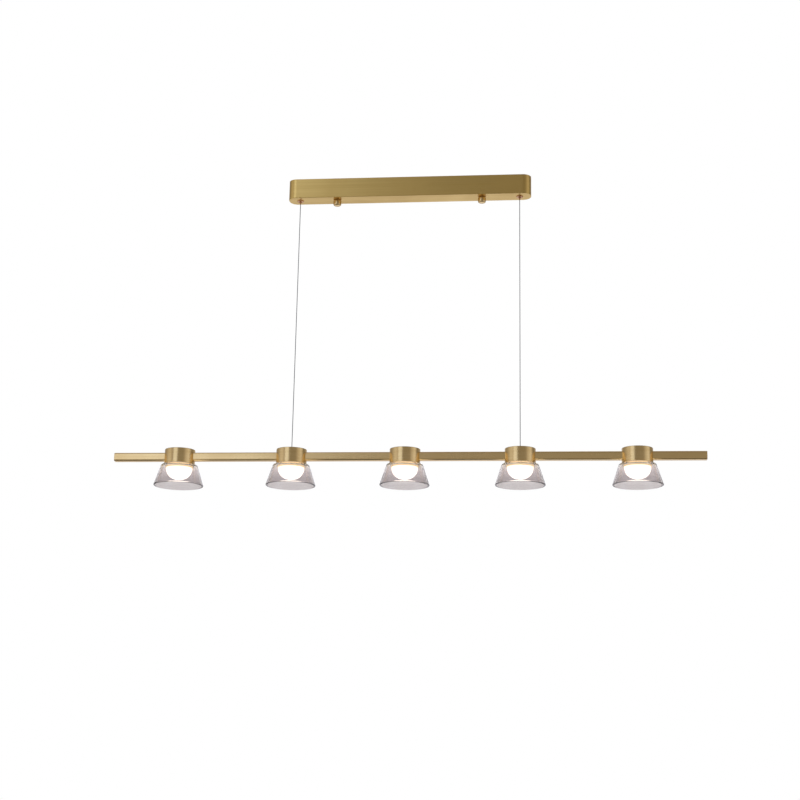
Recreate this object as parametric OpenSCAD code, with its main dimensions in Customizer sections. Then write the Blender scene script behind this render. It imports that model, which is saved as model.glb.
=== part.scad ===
// Linear LED pendant: a square bar with five heads under open glass shades, hung from a
// long ceiling canopy by two wires. X runs along the bar, -Y is the front, +Z is up, and the
// origin is the middle of the bracket's face on the ceiling.

/* [Canopy cover] */
// Distance from each wire to the cover's end
canopy_end = 24; // [20:0.5:60]
// Depth of the cover, front to back
canopy_d = 40; // [38:0.5:60]
// Height of the cover below the ceiling
canopy_h = 42; // [40:0.5:60]
// Sheet thickness of the cover
canopy_wall = 1.2; // [0.8:0.1:2]
// Radius of the cover's four upright corners
canopy_corner_r = 17.5; // [8:0.5:18]
// Radius of the cover's lower edge
canopy_edge_r = 0.9; // [0.3:0.1:2]

/* [Ceiling bracket] */
// Length of the strap
bracket_l = 340; // [330:1:360]
// Width of the strap
bracket_w = 24; // [22:0.5:30]
// Sheet thickness of the strap
bracket_t = 1.5; // [1:0.1:2]
// Height of the strap's folded edges
bracket_lip = 6; // [3:0.5:8]
// Distance between the two ceiling screw slots
slot_spacing = 120; // [80:1:180]
// Length of a ceiling screw slot, end to end
slot_l = 14; // [8:0.5:20]
// Width of a ceiling screw slot
slot_w = 5; // [4:0.1:6]
// Diameter of the mains cable hole in the strap
cable_hole_d = 12; // [8:0.5:16]
// Distance between the two studs that hold the cover
stud_spacing = 306; // [290:1:316]
// Diameter of a stud
stud_d = 4; // [3:0.5:5]
// Diameter of a stud's countersunk head
stud_head_d = 7.6; // [6.5:0.1:8.5]

/* [Thumb nuts] */
// Diameter of a thumb nut
thumb_d = 16.5; // [12:0.5:20]
// Height of a thumb nut
thumb_h = 12; // [9:0.5:18]
// Diameter of a thumb nut's neck
thumb_neck_d = 12; // [9:0.5:12]
// Height of a thumb nut's neck
thumb_neck_h = 1.4; // [0.8:0.1:2]
// Radius of a thumb nut's lower edge
thumb_edge_r = 3; // [1:0.5:4]

/* [Wire grips] */
// Diameter of the flange under the cover
flange_d = 14; // [13:0.5:18]
// Thickness of the flange
flange_t = 1.6; // [1.2:0.1:2.5]
// Outside diameter of the threaded barrel
barrel_d = 11; // [10.5:0.5:12]
// Height of the barrel above the flange
barrel_h = 9; // [8:0.5:12]
// Width across the flats of the barrel's nut
grip_nut_af = 14; // [13:0.5:17]
// Height of the barrel's nut
grip_nut_h = 3.6; // [3:0.1:5]
// Diameter of the swivel ball
swivel_ball_d = 8.4; // [8:0.1:9]
// Depth of the ball's centre above the flange's lower face
swivel_rise = 3.8; // [3.6:0.1:4.2]
// Diameter of the swivel's stem
swivel_stem_d = 4; // [3.8:0.1:4.4]
// Length of stem that shows under the flange
swivel_stem_l = 3; // [2:0.5:5]
// Outside diameter of the release plunger
plunger_d = 2.6; // [2.4:0.1:2.8]
// Length of plunger that shows under the stem
plunger_l = 2.5; // [2.2:0.1:4]
// Thickness of the spring wire in a grip
spring_wire_d = 0.3; // [0.2:0.05:0.35]

/* [Driver and terminals] */
// Length of the driver case
driver_l = 100; // [80:1:110]
// Width of the driver case
driver_w = 28; // [24:0.5:29]
// Height of the driver case
driver_h = 20; // [16:0.5:24]
// Wall of the driver case
driver_wall = 1.5; // [1:0.1:2.5]
// Length of the terminal block
terminal_l = 36; // [30:1:44]
// Width of the terminal block
terminal_w = 18; // [14:0.5:22]
// Height of the terminal block
terminal_h = 14; // [10:0.5:18]
// Clear length under the cable hole, between driver and terminal block
wiring_gap = 50; // [40:1:60]
// Diameter of an insulated lead
lead_d = 1.8; // [1.2:0.1:2]

/* [Suspension] */
// Drop from the cover's lower face to the middle of the bar
wire_drop = 554; // [400:1:900]
// Diameter of a suspension wire
wire_d = 1.5; // [1.2:0.1:1.6]
// Diameter of the ball on a wire's lower end
ferrule_ball_d = 3.6; // [3.2:0.1:3.8]
// Diameter of the ferrule's stem
ferrule_stem_d = 2.2; // [2:0.1:2.4]
// Length of ferrule that shows above a cup
ferrule_show = 6; // [4:0.5:10]

/* [Bar] */
// Length of the bar over its end plugs
bar_l = 1200; // [1060:1:1400]
// Width and height of the square bar
bar_w = 17; // [15:0.5:18]
// Wall of the bar
bar_wall = 1.5; // [1:0.1:2]
// Outside radius of the bar's long edges
bar_corner_r = 3.5; // [1.8:0.1:4]
// Thickness of an end plug's plate
plug_t = 1.6; // [1:0.1:3]
// Depth of an end plug inside the tube
plug_depth = 10; // [6:1:16]
// Diameter of a conductor in the bar
conductor_d = 1.6; // [1:0.1:2]

/* [Heads] */
// Distance between neighbouring heads
head_pitch = 232; // [215:1:238]
// Diameter of a cup
cup_d = 62; // [60:0.5:66]
// Height of a cup
cup_h = 30; // [29:0.5:34]
// Side wall of a cup
cup_wall = 2.5; // [1.5:0.1:3]
// Thickness of a cup's top
cup_top_t = 2.5; // [2:0.1:3]
// Radius of a cup's upper edge
cup_edge_r = 1; // [0.4:0.1:1.5]
// Height of the threaded lip inside a cup's mouth
cup_lip_h = 3; // [2.5:0.1:3.2]
// Thickness of a heatsink's plate
sink_t = 2.6; // [2:0.1:3]
// Thickness of a heatsink's fins
fin_t = 1.5; // [1:0.1:2]
// Distance between neighbouring fins
fin_pitch = 4; // [3.5:0.1:4.2]
// Diameter of an LED board
board_d = 44; // [38:0.5:46]
// Thickness of an LED board
board_t = 1.6; // [1:0.1:2]
// Diameter of the light source on a board
source_d = 18; // [10:0.5:24]
// Height of the light source on a board
source_t = 0.8; // [0.5:0.1:1.2]

/* [Collar and lens] */
// Diameter of the collar's threaded tube
collar_d = 52; // [50:0.5:53]
// Wall of the collar's tube
collar_wall = 1.8; // [1.2:0.1:2.2]
// Diameter of the collar's flange
collar_flange_d = 56; // [55:0.5:58]
// Thickness of the collar's flange
collar_flange_t = 3.3; // [1:0.1:4]
// Diameter of the lens dome
lens_d = 53; // [50:0.2:56]
// Height of the lens dome
lens_h = 24.2; // [20:0.2:34]
// Wall of the lens
lens_wall = 2.6; // [1.5:0.1:4]
// Fullness of the dome's curve, 2 for an ellipse
lens_fullness = 2.2; // [1.8:0.1:3]

/* [Glass shade] */
// Diameter of the shade where its side would meet its top
shade_top_d = 73.2; // [70:0.2:80]
// Diameter of the shade's open rim
shade_rim_d = 102; // [90:0.2:120]
// Height of the shade
shade_h = 44; // [38:0.5:60]
// Thickness of the shade's side
shade_wall = 3.6; // [2.5:0.1:4.5]
// Thickness of the shade's flat top
shade_top_t = 4.1; // [3:0.1:5]
// Radius of the shade's shoulder
shade_shoulder_r = 6; // [2:0.5:7]
// Thickness of the gasket between cup and shade
gasket_t = 0.8; // [0.5:0.1:1.5]
// Width of the gasket's ring
gasket_w = 4; // [2:0.5:4.5]

/* [Hidden] */
heads = 5;
wire_heads = [2, 4];
side = ["left", "right"];
arc_steps = 8;
dome_steps = 20;
$fn = 64;

running_gap = 0.05; // between a shaft and the bore it moves in
fit_gap = 0.15; // between pieces that are pushed together by hand
seat_gap = 0.3; // between pieces of two bodies that rest on each other
swing_limit = 15; // degrees to the front and back
sway_limit = 12; // degrees to the left and right
tilt_margin = 1; // degrees of room past those two limits
plunger_travel = 2;
over = 1; // reach of a cutting shape past the face it cuts
edge_break = 0.3; // radius of a small turned edge

gold = [0.72, 0.58, 0.34];
copper = [0.62, 0.42, 0.26];
steel = [0.62, 0.62, 0.6];
nylon = [0.92, 0.92, 0.9];
glass = [0.75, 0.72, 0.73, 0.4];

bar_z = -canopy_h - wire_drop;
cup_top_z = cup_h / 2;
cup_mouth_z = -cup_h / 2;
cup_ceiling_z = cup_top_z - cup_top_t;
bar_top_z = bar_w / 2;
stud_x = stud_spacing / 2;
wire_x = head_pitch * (wire_heads[1] - wire_heads[0]) / 2;
canopy_l = 2 * (wire_x + canopy_end);
stud_in_nut = thumb_h * 2 / 3;
floor_z = canopy_wall - canopy_h; // inside face of the cover's bottom
stud_end_z = -canopy_h - stud_in_nut;

// Heights in a grip
flange_z = -canopy_h - flange_t;
ball_z = flange_z + swivel_rise;
stem_z = flange_z - swivel_stem_l;
mouth_z = stem_z - plunger_l;
chamber_depth = 2; // of its floor below the ball's centre
chamber_floor_z = ball_z - chamber_depth;
chamber_r = 2.25;
plunger_collar_t = 0.8;
plunger_collar_z = chamber_floor_z + running_gap;
plunger_top_z = plunger_collar_z + plunger_collar_t + spring_wire_d;
spring_turns = 3;
pressed_spring_h = (spring_turns + 1) * spring_wire_d + 2 * running_gap;
chamber_top_z = plunger_collar_z + plunger_collar_t + plunger_travel + pressed_spring_h;
wire_top_z = mouth_z - seat_gap;
tail_sleeve_d = 3;
tail_sleeve_h = 6;
tail_top_z = ball_z + swivel_ball_d / 2 + tail_sleeve_h + 3;

// Heights in a head, measured from the middle of the bar
sink_top_z = -bar_top_z - fit_gap;
board_top_z = sink_top_z - sink_t;
shade_top_z = cup_mouth_z - gasket_t;
collar_flange_z = shade_top_z - shade_top_t;
dome_z = collar_flange_z - collar_flange_t;
lens_neck_r = collar_d / 2 - collar_wall - running_gap;
lens_neck_top_z = board_top_z - board_t - source_t - fit_gap;
sink_r = collar_d / 2 - 0.6;
ferrule_ball_z = bar_top_z + ferrule_ball_d / 2 + 0.1;
ferrule_top_z = cup_top_z + ferrule_show;
bush_flange_z = ferrule_ball_z - 0.9;
bush_r = 4.5;
bush_flange_r = 6.5;
bush_proud = 0.4; // height of the bush above the cup's top

function head_x(i) = (i - (heads + 1) / 2) * head_pitch;
function unit(v) = v / norm(v);

// Points of an arc of radius r that rounds the corner b between a and c
function corner_arc(a, b, c, r) =
    let (
        u = unit(a - b), v = unit(c - b),
        half = acos(u * v) / 2,
        centre = b + unit(u + v) * r / sin(half),
        p = b + u * r / tan(half) - centre,
        q = b + v * r / tan(half) - centre,
        from = atan2(p.y, p.x),
        turn = (atan2(q.y, q.x) - from + 540) % 360 - 180
    )
    [for (k = [0:arc_steps]) let (a = from + turn * k / arc_steps) centre + r * [cos(a), sin(a)]];

// Outline through points [x, y, radius], each corner rounded by its radius
function rounded(pts) =
    let (n = len(pts), xy = [for (p = pts) [p.x, p.y]])
    [for (i = [0:n - 1])
        each pts[i].z > 0 ? corner_arc(xy[(i + n - 1) % n], xy[i], xy[(i + 1) % n], pts[i].z) : [xy[i]]];

// Dome of radius r and height h, from its equator at y = 0 down to the pole
function dome(r, h) =
    [for (k = [0:dome_steps]) let (a = 90 * k / dome_steps)
        [r * pow(cos(a), 2 / lens_fullness), -h * pow(sin(a), 2 / lens_fullness)]];

// Round tube of diameter d swept along a list of points
module swept(points, d, sides = 8) {
    last = len(points) - 1;
    ways = [for (i = [0:last]) unit(points[min(i + 1, last)] - points[max(i - 1, 0)])];
    rings = [for (i = [0:last], k = [0:sides - 1])
        let (
            w = ways[i],
            u = unit(cross(w, abs(w.z) < 0.9 ? [0, 0, 1] : [0, 1, 0])),
            v = cross(w, u),
            a = 360 * k / sides
        )
        points[i] + d / 2 * (u * cos(a) + v * sin(a))];
    sides_of = [for (i = [0:last - 1], k = [0:sides - 1])
        let (a = i * sides + k, b = i * sides + (k + 1) % sides)
        each [[a, b, b + sides], [a, b + sides, a + sides]]];
    top = last * sides;
    ends = [for (k = [1:sides - 2]) each [[0, k + 1, k], [top, top + k, top + k + 1]]];
    polyhedron(rings, concat(sides_of, ends), convexity = 6);
}

module ring(d, bore, h) {
    difference() {
        cylinder(d = d, h = h);
        translate([0, 0, -over]) cylinder(d = bore, h = h + 2 * over);
    }
}

module hex_nut(af, bore, h) {
    difference() {
        cylinder(d = af / cos(30), h = h, $fn = 6);
        translate([0, 0, -over]) cylinder(d = bore, h = h + 2 * over);
    }
}

module rounded_square(w, r) {
    square([w - 2 * r, w], center = true);
    square([w, w - 2 * r], center = true);
    for (x = [-1, 1], y = [-1, 1]) translate([x, y] * (w / 2 - r)) circle(r = r);
}

module rounded_plate(l, d, r, h) {
    linear_extrude(h) {
        square([l - 2 * r, d], center = true);
        square([l, d - 2 * r], center = true);
        for (x = [-1, 1], y = [-1, 1]) translate([x * (l / 2 - r), y * (d / 2 - r)]) circle(r = r);
    }
}

// Block with round upright corners of radius r and a small radius e along its lower edge
module tray_block(l, d, h, r, e) {
    rotate([90, 0, 90]) linear_extrude(l - 2 * r, center = true)
        polygon(rounded([[-d / 2, 0, e], [d / 2, 0, e], [d / 2, h, 0], [-d / 2, h, 0]]));
    rotate([90, 0, 0]) linear_extrude(d - 2 * r, center = true)
        polygon(rounded([[-l / 2, 0, e], [l / 2, 0, e], [l / 2, h, 0], [-l / 2, h, 0]]));
    for (x = [-1, 1], y = [-1, 1]) translate([x * (l / 2 - r), y * (d / 2 - r)])
        rotate_extrude() polygon(rounded([[0, 0, 0], [r, 0, e], [r, h, 0], [0, h, 0]]));
}

module at_studs() {
    for (x = [-1, 1]) translate([x * stud_x, 0]) children();
}

module at_grips() {
    for (x = [-1, 1]) translate([x * wire_x, 0]) children();
}

module at_head(i) {
    translate([head_x(i), 0, bar_z]) children();
}

// The strap on the ceiling, folded down along its long edges
module mounting_bracket() {
    through = bracket_t + 2 * over;
    color(steel) difference() {
        union() {
            translate([-bracket_l / 2, -bracket_w / 2, -bracket_t])
                cube([bracket_l, bracket_w, bracket_t]);
            for (y = [-bracket_w / 2, bracket_w / 2 - bracket_t])
                translate([-bracket_l / 2, y, -bracket_lip]) cube([bracket_l, bracket_t, bracket_lip]);
        }
        translate([0, 0, -bracket_t - over]) cylinder(d = cable_hole_d, h = through);
        for (x = [-1, 1]) translate([x * slot_spacing / 2, 0, -bracket_t - over]) {
            for (s = [-1, 1]) translate([s * (slot_l - slot_w) / 2, 0]) cylinder(d = slot_w, h = through);
            translate([-(slot_l - slot_w) / 2, -slot_w / 2]) cube([slot_l - slot_w, slot_w, through]);
        }
        at_studs() {
            translate([0, 0, -bracket_t - over]) cylinder(d = stud_d, h = through);
            translate([0, 0, -bracket_t]) cylinder(d1 = stud_d, d2 = stud_head_d, h = bracket_t);
        }
    }
}

module bracket_studs() {
    color(steel) at_studs() {
        translate([0, 0, -bracket_t]) cylinder(d1 = stud_d, d2 = stud_head_d, h = bracket_t);
        translate([0, 0, stud_end_z]) cylinder(d = stud_d, h = -stud_end_z - bracket_t);
    }
}

module stud_lock_nuts() {
    nut_af = 7;
    nut_h = 3.2;
    color(steel) at_studs() translate([0, 0, -bracket_t - nut_h]) hex_nut(nut_af, stud_d, nut_h);
}

module canopy_cover() {
    inner_l = canopy_l - 2 * canopy_wall;
    inner_d = canopy_d - 2 * canopy_wall;
    inner_r = canopy_corner_r - canopy_wall;
    through = canopy_wall + 2 * over;
    color(gold) difference() {
        union() {
            difference() {
                translate([0, 0, -canopy_h])
                    tray_block(canopy_l, canopy_d, canopy_h, canopy_corner_r, canopy_edge_r);
                translate([0, 0, floor_z])
                    rounded_plate(inner_l, inner_d, inner_r, canopy_h);
            }
            for (p = boss_places) translate([p.x, p.y, floor_z - canopy_wall / 2])
                cylinder(d = boss_d, h = boss_h + canopy_wall / 2);
        }
        at_studs() translate([0, 0, -canopy_h - over]) cylinder(d = stud_d + 2 * seat_gap, h = through);
        at_grips() translate([0, 0, -canopy_h - over]) cylinder(d = barrel_d, h = through);
        for (p = boss_places) translate([p.x, p.y, floor_z])
            cylinder(d = case_screw_d, h = boss_h + over);
    }
}

// Bosses on the cover's floor that the driver case and the terminal block are screwed to
boss_d = 6;
boss_h = 3;
case_screw_d = 2.5;
case_hole_d = case_screw_d + 2 * fit_gap;
ear_l = 9;
ear_t = 2;
driver_x = -wiring_gap / 2 - driver_l / 2;
terminal_x = wiring_gap / 2 + terminal_l / 2;
case_floor_z = floor_z + boss_h;
boss_places = [
    [driver_x - driver_l / 2 - ear_l / 2, 0],
    [driver_x + driver_l / 2 + ear_l / 2, 0],
    [terminal_x, 0]
];

module driver_case() {
    inside = [driver_l, driver_w, driver_h] - [2, 2, 1] * driver_wall;
    ear_w = driver_w * 2 / 3;
    color("white") translate([driver_x, 0, case_floor_z]) {
        difference() {
            union() {
                translate([-driver_l / 2, -driver_w / 2]) cube([driver_l, driver_w, driver_h]);
                translate([-driver_l / 2 - ear_l, -ear_w / 2]) cube([driver_l + 2 * ear_l, ear_w, ear_t]);
            }
            translate([-inside.x / 2, -inside.y / 2, -over]) cube(inside + [0, 0, over]);
            for (x = [-1, 1]) translate([x * (driver_l + ear_l) / 2, 0, -over])
                cylinder(d = case_hole_d, h = ear_t + 2 * over);
            for (x = [-1, 1], y = [-1, 1]) translate([x * driver_l / 2, y * lead_gap, driver_h / 2])
                rotate([0, 90, 0]) cylinder(d = lead_d + 2 * fit_gap, h = 4 * driver_wall, center = true);
        }
    }
}

module driver_board() {
    length = driver_l - 2 * driver_wall - 2 * fit_gap;
    width = driver_w - 2 * driver_wall - 2 * fit_gap;
    top = board_t + fit_gap;
    transformer = [18, 16, 12];
    choke = [10, 6, 7];
    large_can = [9, 13]; // diameter and height
    small_can = [5, 8];
    color("darkgreen") translate([driver_x, 0, case_floor_z]) {
        translate([-length / 2, -width / 2, fit_gap]) cube([length, width, board_t]);
        translate([-length * 0.1 - transformer.x / 2, -transformer.y / 2, top]) cube(transformer);
        translate([length * 0.2, -width / 2 + fit_gap, top]) cube(choke);
        for (x = [-0.36, 0.32]) translate([length * x, -3, top])
            cylinder(d = large_can[0], h = large_can[1]);
        for (x = [-0.24, 0.14, 0.2]) translate([length * x, 6, top])
            cylinder(d = small_can[0], h = small_can[1]);
    }
}

module case_screws() {
    head = [4.8, 1.6]; // diameter and height
    recess = [3, 0.6]; // length and width
    tip_gap = 0.2;
    heights = [ear_t, ear_t, terminal_h];
    color(steel) for (k = [0:2]) translate([boss_places[k].x, boss_places[k].y, case_floor_z]) {
        translate([0, 0, heights[k]]) difference() {
            cylinder(d = head[0], h = head[1]);
            for (a = [0, 90]) rotate(a) translate([-recess[0] / 2, -recess[1] / 2, head[1] / 2])
                cube([recess[0], recess[1], head[1]]);
        }
        translate([0, 0, tip_gap - boss_h]) cylinder(d = case_screw_d, h = heights[k] + boss_h - tip_gap);
    }
}

// Three-pole block, open where the leads go in at both ends of each pole
pole_pitch = 11;
pole_screw_d = 3.4;
pole_z = 5;
pole_screw_y = terminal_w / 3;
module terminal_block() {
    groove = [1.2, 2]; // width and depth, between the poles
    color(nylon) translate([terminal_x, 0, case_floor_z]) difference() {
        translate([-terminal_l / 2, -terminal_w / 2]) cube([terminal_l, terminal_w, terminal_h]);
        for (s = [-1, 1])
            translate([(s * pole_pitch - groove[0]) / 2, -terminal_w / 2 - over, terminal_h - groove[1]])
                cube([groove[0], terminal_w + 2 * over, groove[1] + over]);
        for (k = [-1:1], s = [-1, 1]) {
            translate([k * pole_pitch, s * pole_screw_y, pole_z]) cylinder(d = pole_screw_d, h = terminal_h);
            translate([k * pole_pitch, s * terminal_w / 2, pole_z]) rotate([90, 0, 0])
                cylinder(d = pole_screw_d, h = terminal_w / 2, center = true);
        }
        translate([0, 0, -over]) cylinder(d = case_hole_d, h = terminal_h + 2 * over);
    }
}

module terminal_screws() {
    screw_h = terminal_h - pole_z - pole_screw_d;
    slot = [pole_screw_d, 0.6, 1];
    color("goldenrod") translate([terminal_x, 0, case_floor_z])
        for (k = [-1:1], s = [-1, 1]) translate([k * pole_pitch, s * pole_screw_y, pole_z + pole_screw_d / 2])
            difference() {
                cylinder(d = pole_screw_d - 2 * running_gap, h = screw_h);
                translate([-slot.x / 2, -slot.y / 2, screw_h - slot.z]) cube(slot + [0, 0, over]);
            }
}

// Leads inside the cover: two from the terminal block to the driver, two from the driver to the grips
lead_gap = 6;
lead_end_z = tail_top_z + seat_gap;
module canopy_leads() {
    entry_z = case_floor_z + driver_h / 2;
    driver_left = driver_x - driver_l / 2;
    driver_right = driver_x + driver_l / 2;
    pole_mouth_y = -terminal_w / 2;
    pole_in_z = case_floor_z + pole_z;
    back_y = (driver_w / 2 + canopy_d / 2 - canopy_wall) / 2;
    top_z = -bracket_lip - 3;
    color("saddlebrown") for (s = [-1, 1]) {
        pole_x = terminal_x + min(s, 0) * pole_pitch;
        swept([
            [driver_right - driver_wall, s * lead_gap, entry_z],
            [driver_right + 6, s * lead_gap, entry_z],
            [driver_right + 14, s * lead_gap - 2, entry_z + 3 + s],
            [pole_x - 16, -11 - 1.5 * s, entry_z + 3 + 2 * s],
            [pole_x - 6, -14.5, entry_z],
            [pole_x, -15.5, pole_in_z + 3],
            [pole_x, -13, pole_in_z],
            [pole_x, pole_mouth_y + 3, pole_in_z]
        ], lead_d);
    }
    color("dimgray") swept([
        [driver_left + driver_wall, -lead_gap, entry_z],
        [driver_left - 8, -lead_gap, entry_z],
        [driver_left - 24, -lead_gap - 2, entry_z - 3],
        [-wire_x + 40, -8, -canopy_h / 2],
        [-wire_x + 20, -4, top_z - 3],
        [-wire_x + 8, -1, top_z],
        [-wire_x + 2, 0, top_z - 2],
        [-wire_x, 0, (top_z + lead_end_z) / 2],
        [-wire_x, 0, lead_end_z]
    ], lead_d);
    color("firebrick") swept([
        [driver_left + driver_wall, lead_gap, entry_z],
        [driver_left - 6, lead_gap, entry_z],
        [driver_left - 11, lead_gap + 3, entry_z + 1],
        [driver_left - 12, back_y - 3, entry_z + 2],
        [driver_left - 8, back_y, entry_z + 2],
        [driver_left + 10, back_y, entry_z],
        [terminal_x, back_y, entry_z],
        [stud_x + 10, back_y, entry_z],
        [wire_x - 40, back_y - 4, entry_z],
        [wire_x - 20, 5, top_z - 3],
        [wire_x - 8, 1, top_z],
        [wire_x - 2, 0, top_z - 2],
        [wire_x, 0, (top_z + lead_end_z) / 2],
        [wire_x, 0, lead_end_z]
    ], lead_d);
}

module thumb_nut(s) {
    crown = 0.6; // rise of the lower face towards the side
    color(gold) translate([s * stud_x, 0, -canopy_h - seat_gap]) difference() {
        rotate_extrude() polygon(rounded([
            [0, 0, 0],
            [thumb_neck_d / 2, 0, edge_break],
            [thumb_neck_d / 2, -thumb_neck_h, 0],
            [thumb_d / 2, -thumb_neck_h, edge_break],
            [thumb_d / 2, crown - thumb_h, thumb_edge_r],
            [0, -thumb_h, 0]
        ]));
        translate([0, 0, stud_end_z + canopy_h]) cylinder(d = stud_d + 2 * running_gap, h = thumb_h);
    }
}

// Flange and threaded barrel with the seat that holds a swivel ball
module grip_barrels() {
    socket_r = swivel_ball_d / 2 + running_gap;
    reach = swivel_rise + over;
    throat_r = swivel_stem_d / 2 + fit_gap;
    lip_r = throat_r + reach * tan(swing_limit + tilt_margin);
    color(copper) at_grips() difference() {
        union() {
            translate([0, 0, flange_z]) cylinder(d = barrel_d, h = barrel_h + flange_t);
            translate([0, 0, flange_z]) rotate_extrude() polygon(rounded([
                [0, 0, 0], [flange_d / 2, 0, 2 * edge_break], [flange_d / 2, flange_t, 0], [0, flange_t, 0]
            ]));
        }
        translate([0, 0, ball_z]) {
            cylinder(r = socket_r, h = barrel_h + flange_t);
            sphere(r = socket_r);
            translate([0, 0, -reach]) cylinder(r1 = lip_r, r2 = throat_r, h = reach);
        }
    }
}

module grip_nuts() {
    color(steel) at_grips() translate([0, 0, floor_z]) hex_nut(grip_nut_af, barrel_d, grip_nut_h);
}

// Ball and stem that the wire runs through, with the chamber of the release plunger
module grip_swivels() {
    color(copper) at_grips() difference() {
        union() {
            translate([0, 0, ball_z]) sphere(d = swivel_ball_d);
            translate([0, 0, stem_z]) rotate_extrude() polygon(rounded([
                [0, 0, 0], [swivel_stem_d / 2, 0, edge_break],
                [swivel_stem_d / 2, ball_z - stem_z, 0], [0, ball_z - stem_z, 0]
            ]));
        }
        translate([0, 0, stem_z - over]) cylinder(d = plunger_d + 2 * running_gap, h = ball_z - stem_z);
        translate([0, 0, chamber_floor_z]) cylinder(r = chamber_r, h = chamber_top_z - chamber_floor_z);
        translate([0, 0, ball_z]) cylinder(d = wire_d + 4 * running_gap, h = swivel_ball_d);
    }
}

module plunger(s) {
    color(copper) translate([s * wire_x, 0]) difference() {
        union() {
            translate([0, 0, mouth_z]) cylinder(d = plunger_d, h = plunger_top_z - mouth_z);
            translate([0, 0, plunger_collar_z])
                cylinder(r = chamber_r - 2 * running_gap, h = plunger_collar_t);
        }
        translate([0, 0, mouth_z - over])
            cylinder(d = wire_d + 4 * running_gap, h = plunger_top_z - mouth_z + 2 * over);
    }
}

// Coil between the plunger's collar and the top of its chamber
module plunger_spring(s) {
    rings = 24;
    coil_r = (chamber_r + plunger_d / 2) / 2 + running_gap;
    low = plunger_collar_z + plunger_collar_t + spring_wire_d / 2 + running_gap;
    high = chamber_top_z - spring_wire_d / 2 - running_gap;
    echo(least_gap_in_spring = (high - low) / spring_turns - spring_wire_d);
    color("silver") translate([s * wire_x, 0]) swept([for (k = [0:rings * spring_turns])
        let (a = 360 * k / rings, t = k / (rings * spring_turns))
        [coil_r * cos(a), coil_r * sin(a), low + (high - low) * t]], spring_wire_d, 6);
}

module wire_tails() {
    color("silver") at_grips() {
        translate([0, 0, mouth_z]) cylinder(d = wire_d, h = tail_top_z - mouth_z - tail_sleeve_h / 2);
        translate([0, 0, tail_top_z - tail_sleeve_h]) cylinder(d = tail_sleeve_d, h = tail_sleeve_h);
    }
}

module suspension_wire(s) {
    low = bar_z + ferrule_top_z;
    color("silver") translate([s * wire_x, 0, low]) cylinder(d = wire_d, h = wire_top_z - low, $fn = 24);
}

module wire_ferrule(s) {
    color(gold) translate([s * wire_x, 0, bar_z]) {
        translate([0, 0, ferrule_ball_z]) sphere(d = ferrule_ball_d, $fn = 32);
        translate([0, 0, ferrule_ball_z]) rotate_extrude($fn = 32) polygon(rounded([
            [0, 0, 0], [ferrule_stem_d / 2, 0, 0],
            [ferrule_stem_d / 2, ferrule_top_z - ferrule_ball_z, edge_break], [0, ferrule_top_z - ferrule_ball_z, 0]
        ]));
    }
}

// Insulating bushes in the tops of two cups, each a seat for a ferrule's ball
module anchor_bushes() {
    seat_r = ferrule_ball_d / 2 + 2 * running_gap;
    neck_top = cup_top_z + bush_proud;
    rise = neck_top + over - ferrule_ball_z;
    throat_r = ferrule_stem_d / 2 + fit_gap;
    mouth_r = throat_r + rise * tan(sway_limit + tilt_margin);
    color(nylon) for (i = wire_heads) at_head(i) difference() {
        union() {
            translate([0, 0, bush_flange_z]) cylinder(r = bush_flange_r, h = cup_ceiling_z - bush_flange_z);
            translate([0, 0, bush_flange_z]) cylinder(r = bush_r, h = neck_top - bush_flange_z);
        }
        translate([0, 0, ferrule_ball_z]) {
            sphere(r = seat_r);
            cylinder(r1 = throat_r, r2 = mouth_r, h = rise);
        }
        translate([0, 0, bush_flange_z - over])
            cylinder(r = seat_r, h = ferrule_ball_z - bush_flange_z + over);
    }
}

// Holes in the tube: under each wire for its connection, and over each heatsink for the leads
lead_hole_d = 8;
module bar_tube() {
    length = bar_l - 2 * plug_t;
    color(gold) translate([0, 0, bar_z]) difference() {
        rotate([90, 0, 90]) linear_extrude(length, center = true) difference() {
            rounded_square(bar_w, bar_corner_r);
            rounded_square(bar_w - 2 * bar_wall, bar_corner_r - bar_wall);
        }
        for (i = wire_heads) translate([head_x(i), 0, 0]) cylinder(d = lead_hole_d, h = bar_w);
        for (i = [1:heads]) translate([head_x(i), 0, -bar_w]) cylinder(d = lead_hole_d, h = bar_w);
    }
}

module bar_end_plugs() {
    inner_w = bar_w - 2 * bar_wall - 2 * fit_gap;
    core_w = inner_w - 2 * bar_wall;
    color(gold) for (s = [-1, 1]) translate([s * (bar_l / 2 - plug_t), 0, bar_z]) rotate([90, 0, s * 90]) {
        difference() {
            union() {
                linear_extrude(plug_t) rounded_square(bar_w, bar_corner_r);
                translate([0, 0, -plug_depth]) linear_extrude(plug_depth)
                    rounded_square(inner_w, bar_corner_r - bar_wall);
            }
            translate([0, 0, -plug_depth - over]) linear_extrude(plug_depth)
                rounded_square(core_w, edge_break);
        }
    }
}

// Two conductors along the tube's floor, with a drop at each board and a riser at each wire
module bar_conductors() {
    run_z = -bar_w / 2 + bar_wall + conductor_d / 2 + running_gap;
    apart = 2.4;
    color("crimson") translate([0, 0, bar_z]) for (s = [-1, 1]) translate([0, s * apart]) {
        translate([head_x(1) - 2, 0, run_z]) rotate([0, 90, 0])
            cylinder(d = conductor_d, h = head_x(heads) - head_x(1) + 4, $fn = 16);
        for (i = [1:heads]) translate([head_x(i), 0, board_top_z + running_gap])
            cylinder(d = conductor_d, h = run_z - board_top_z, $fn = 16);
        for (i = wire_heads) translate([head_x(i), 0, run_z])
            cylinder(d = conductor_d, h = bush_flange_z - running_gap - run_z, $fn = 16);
    }
}

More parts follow.
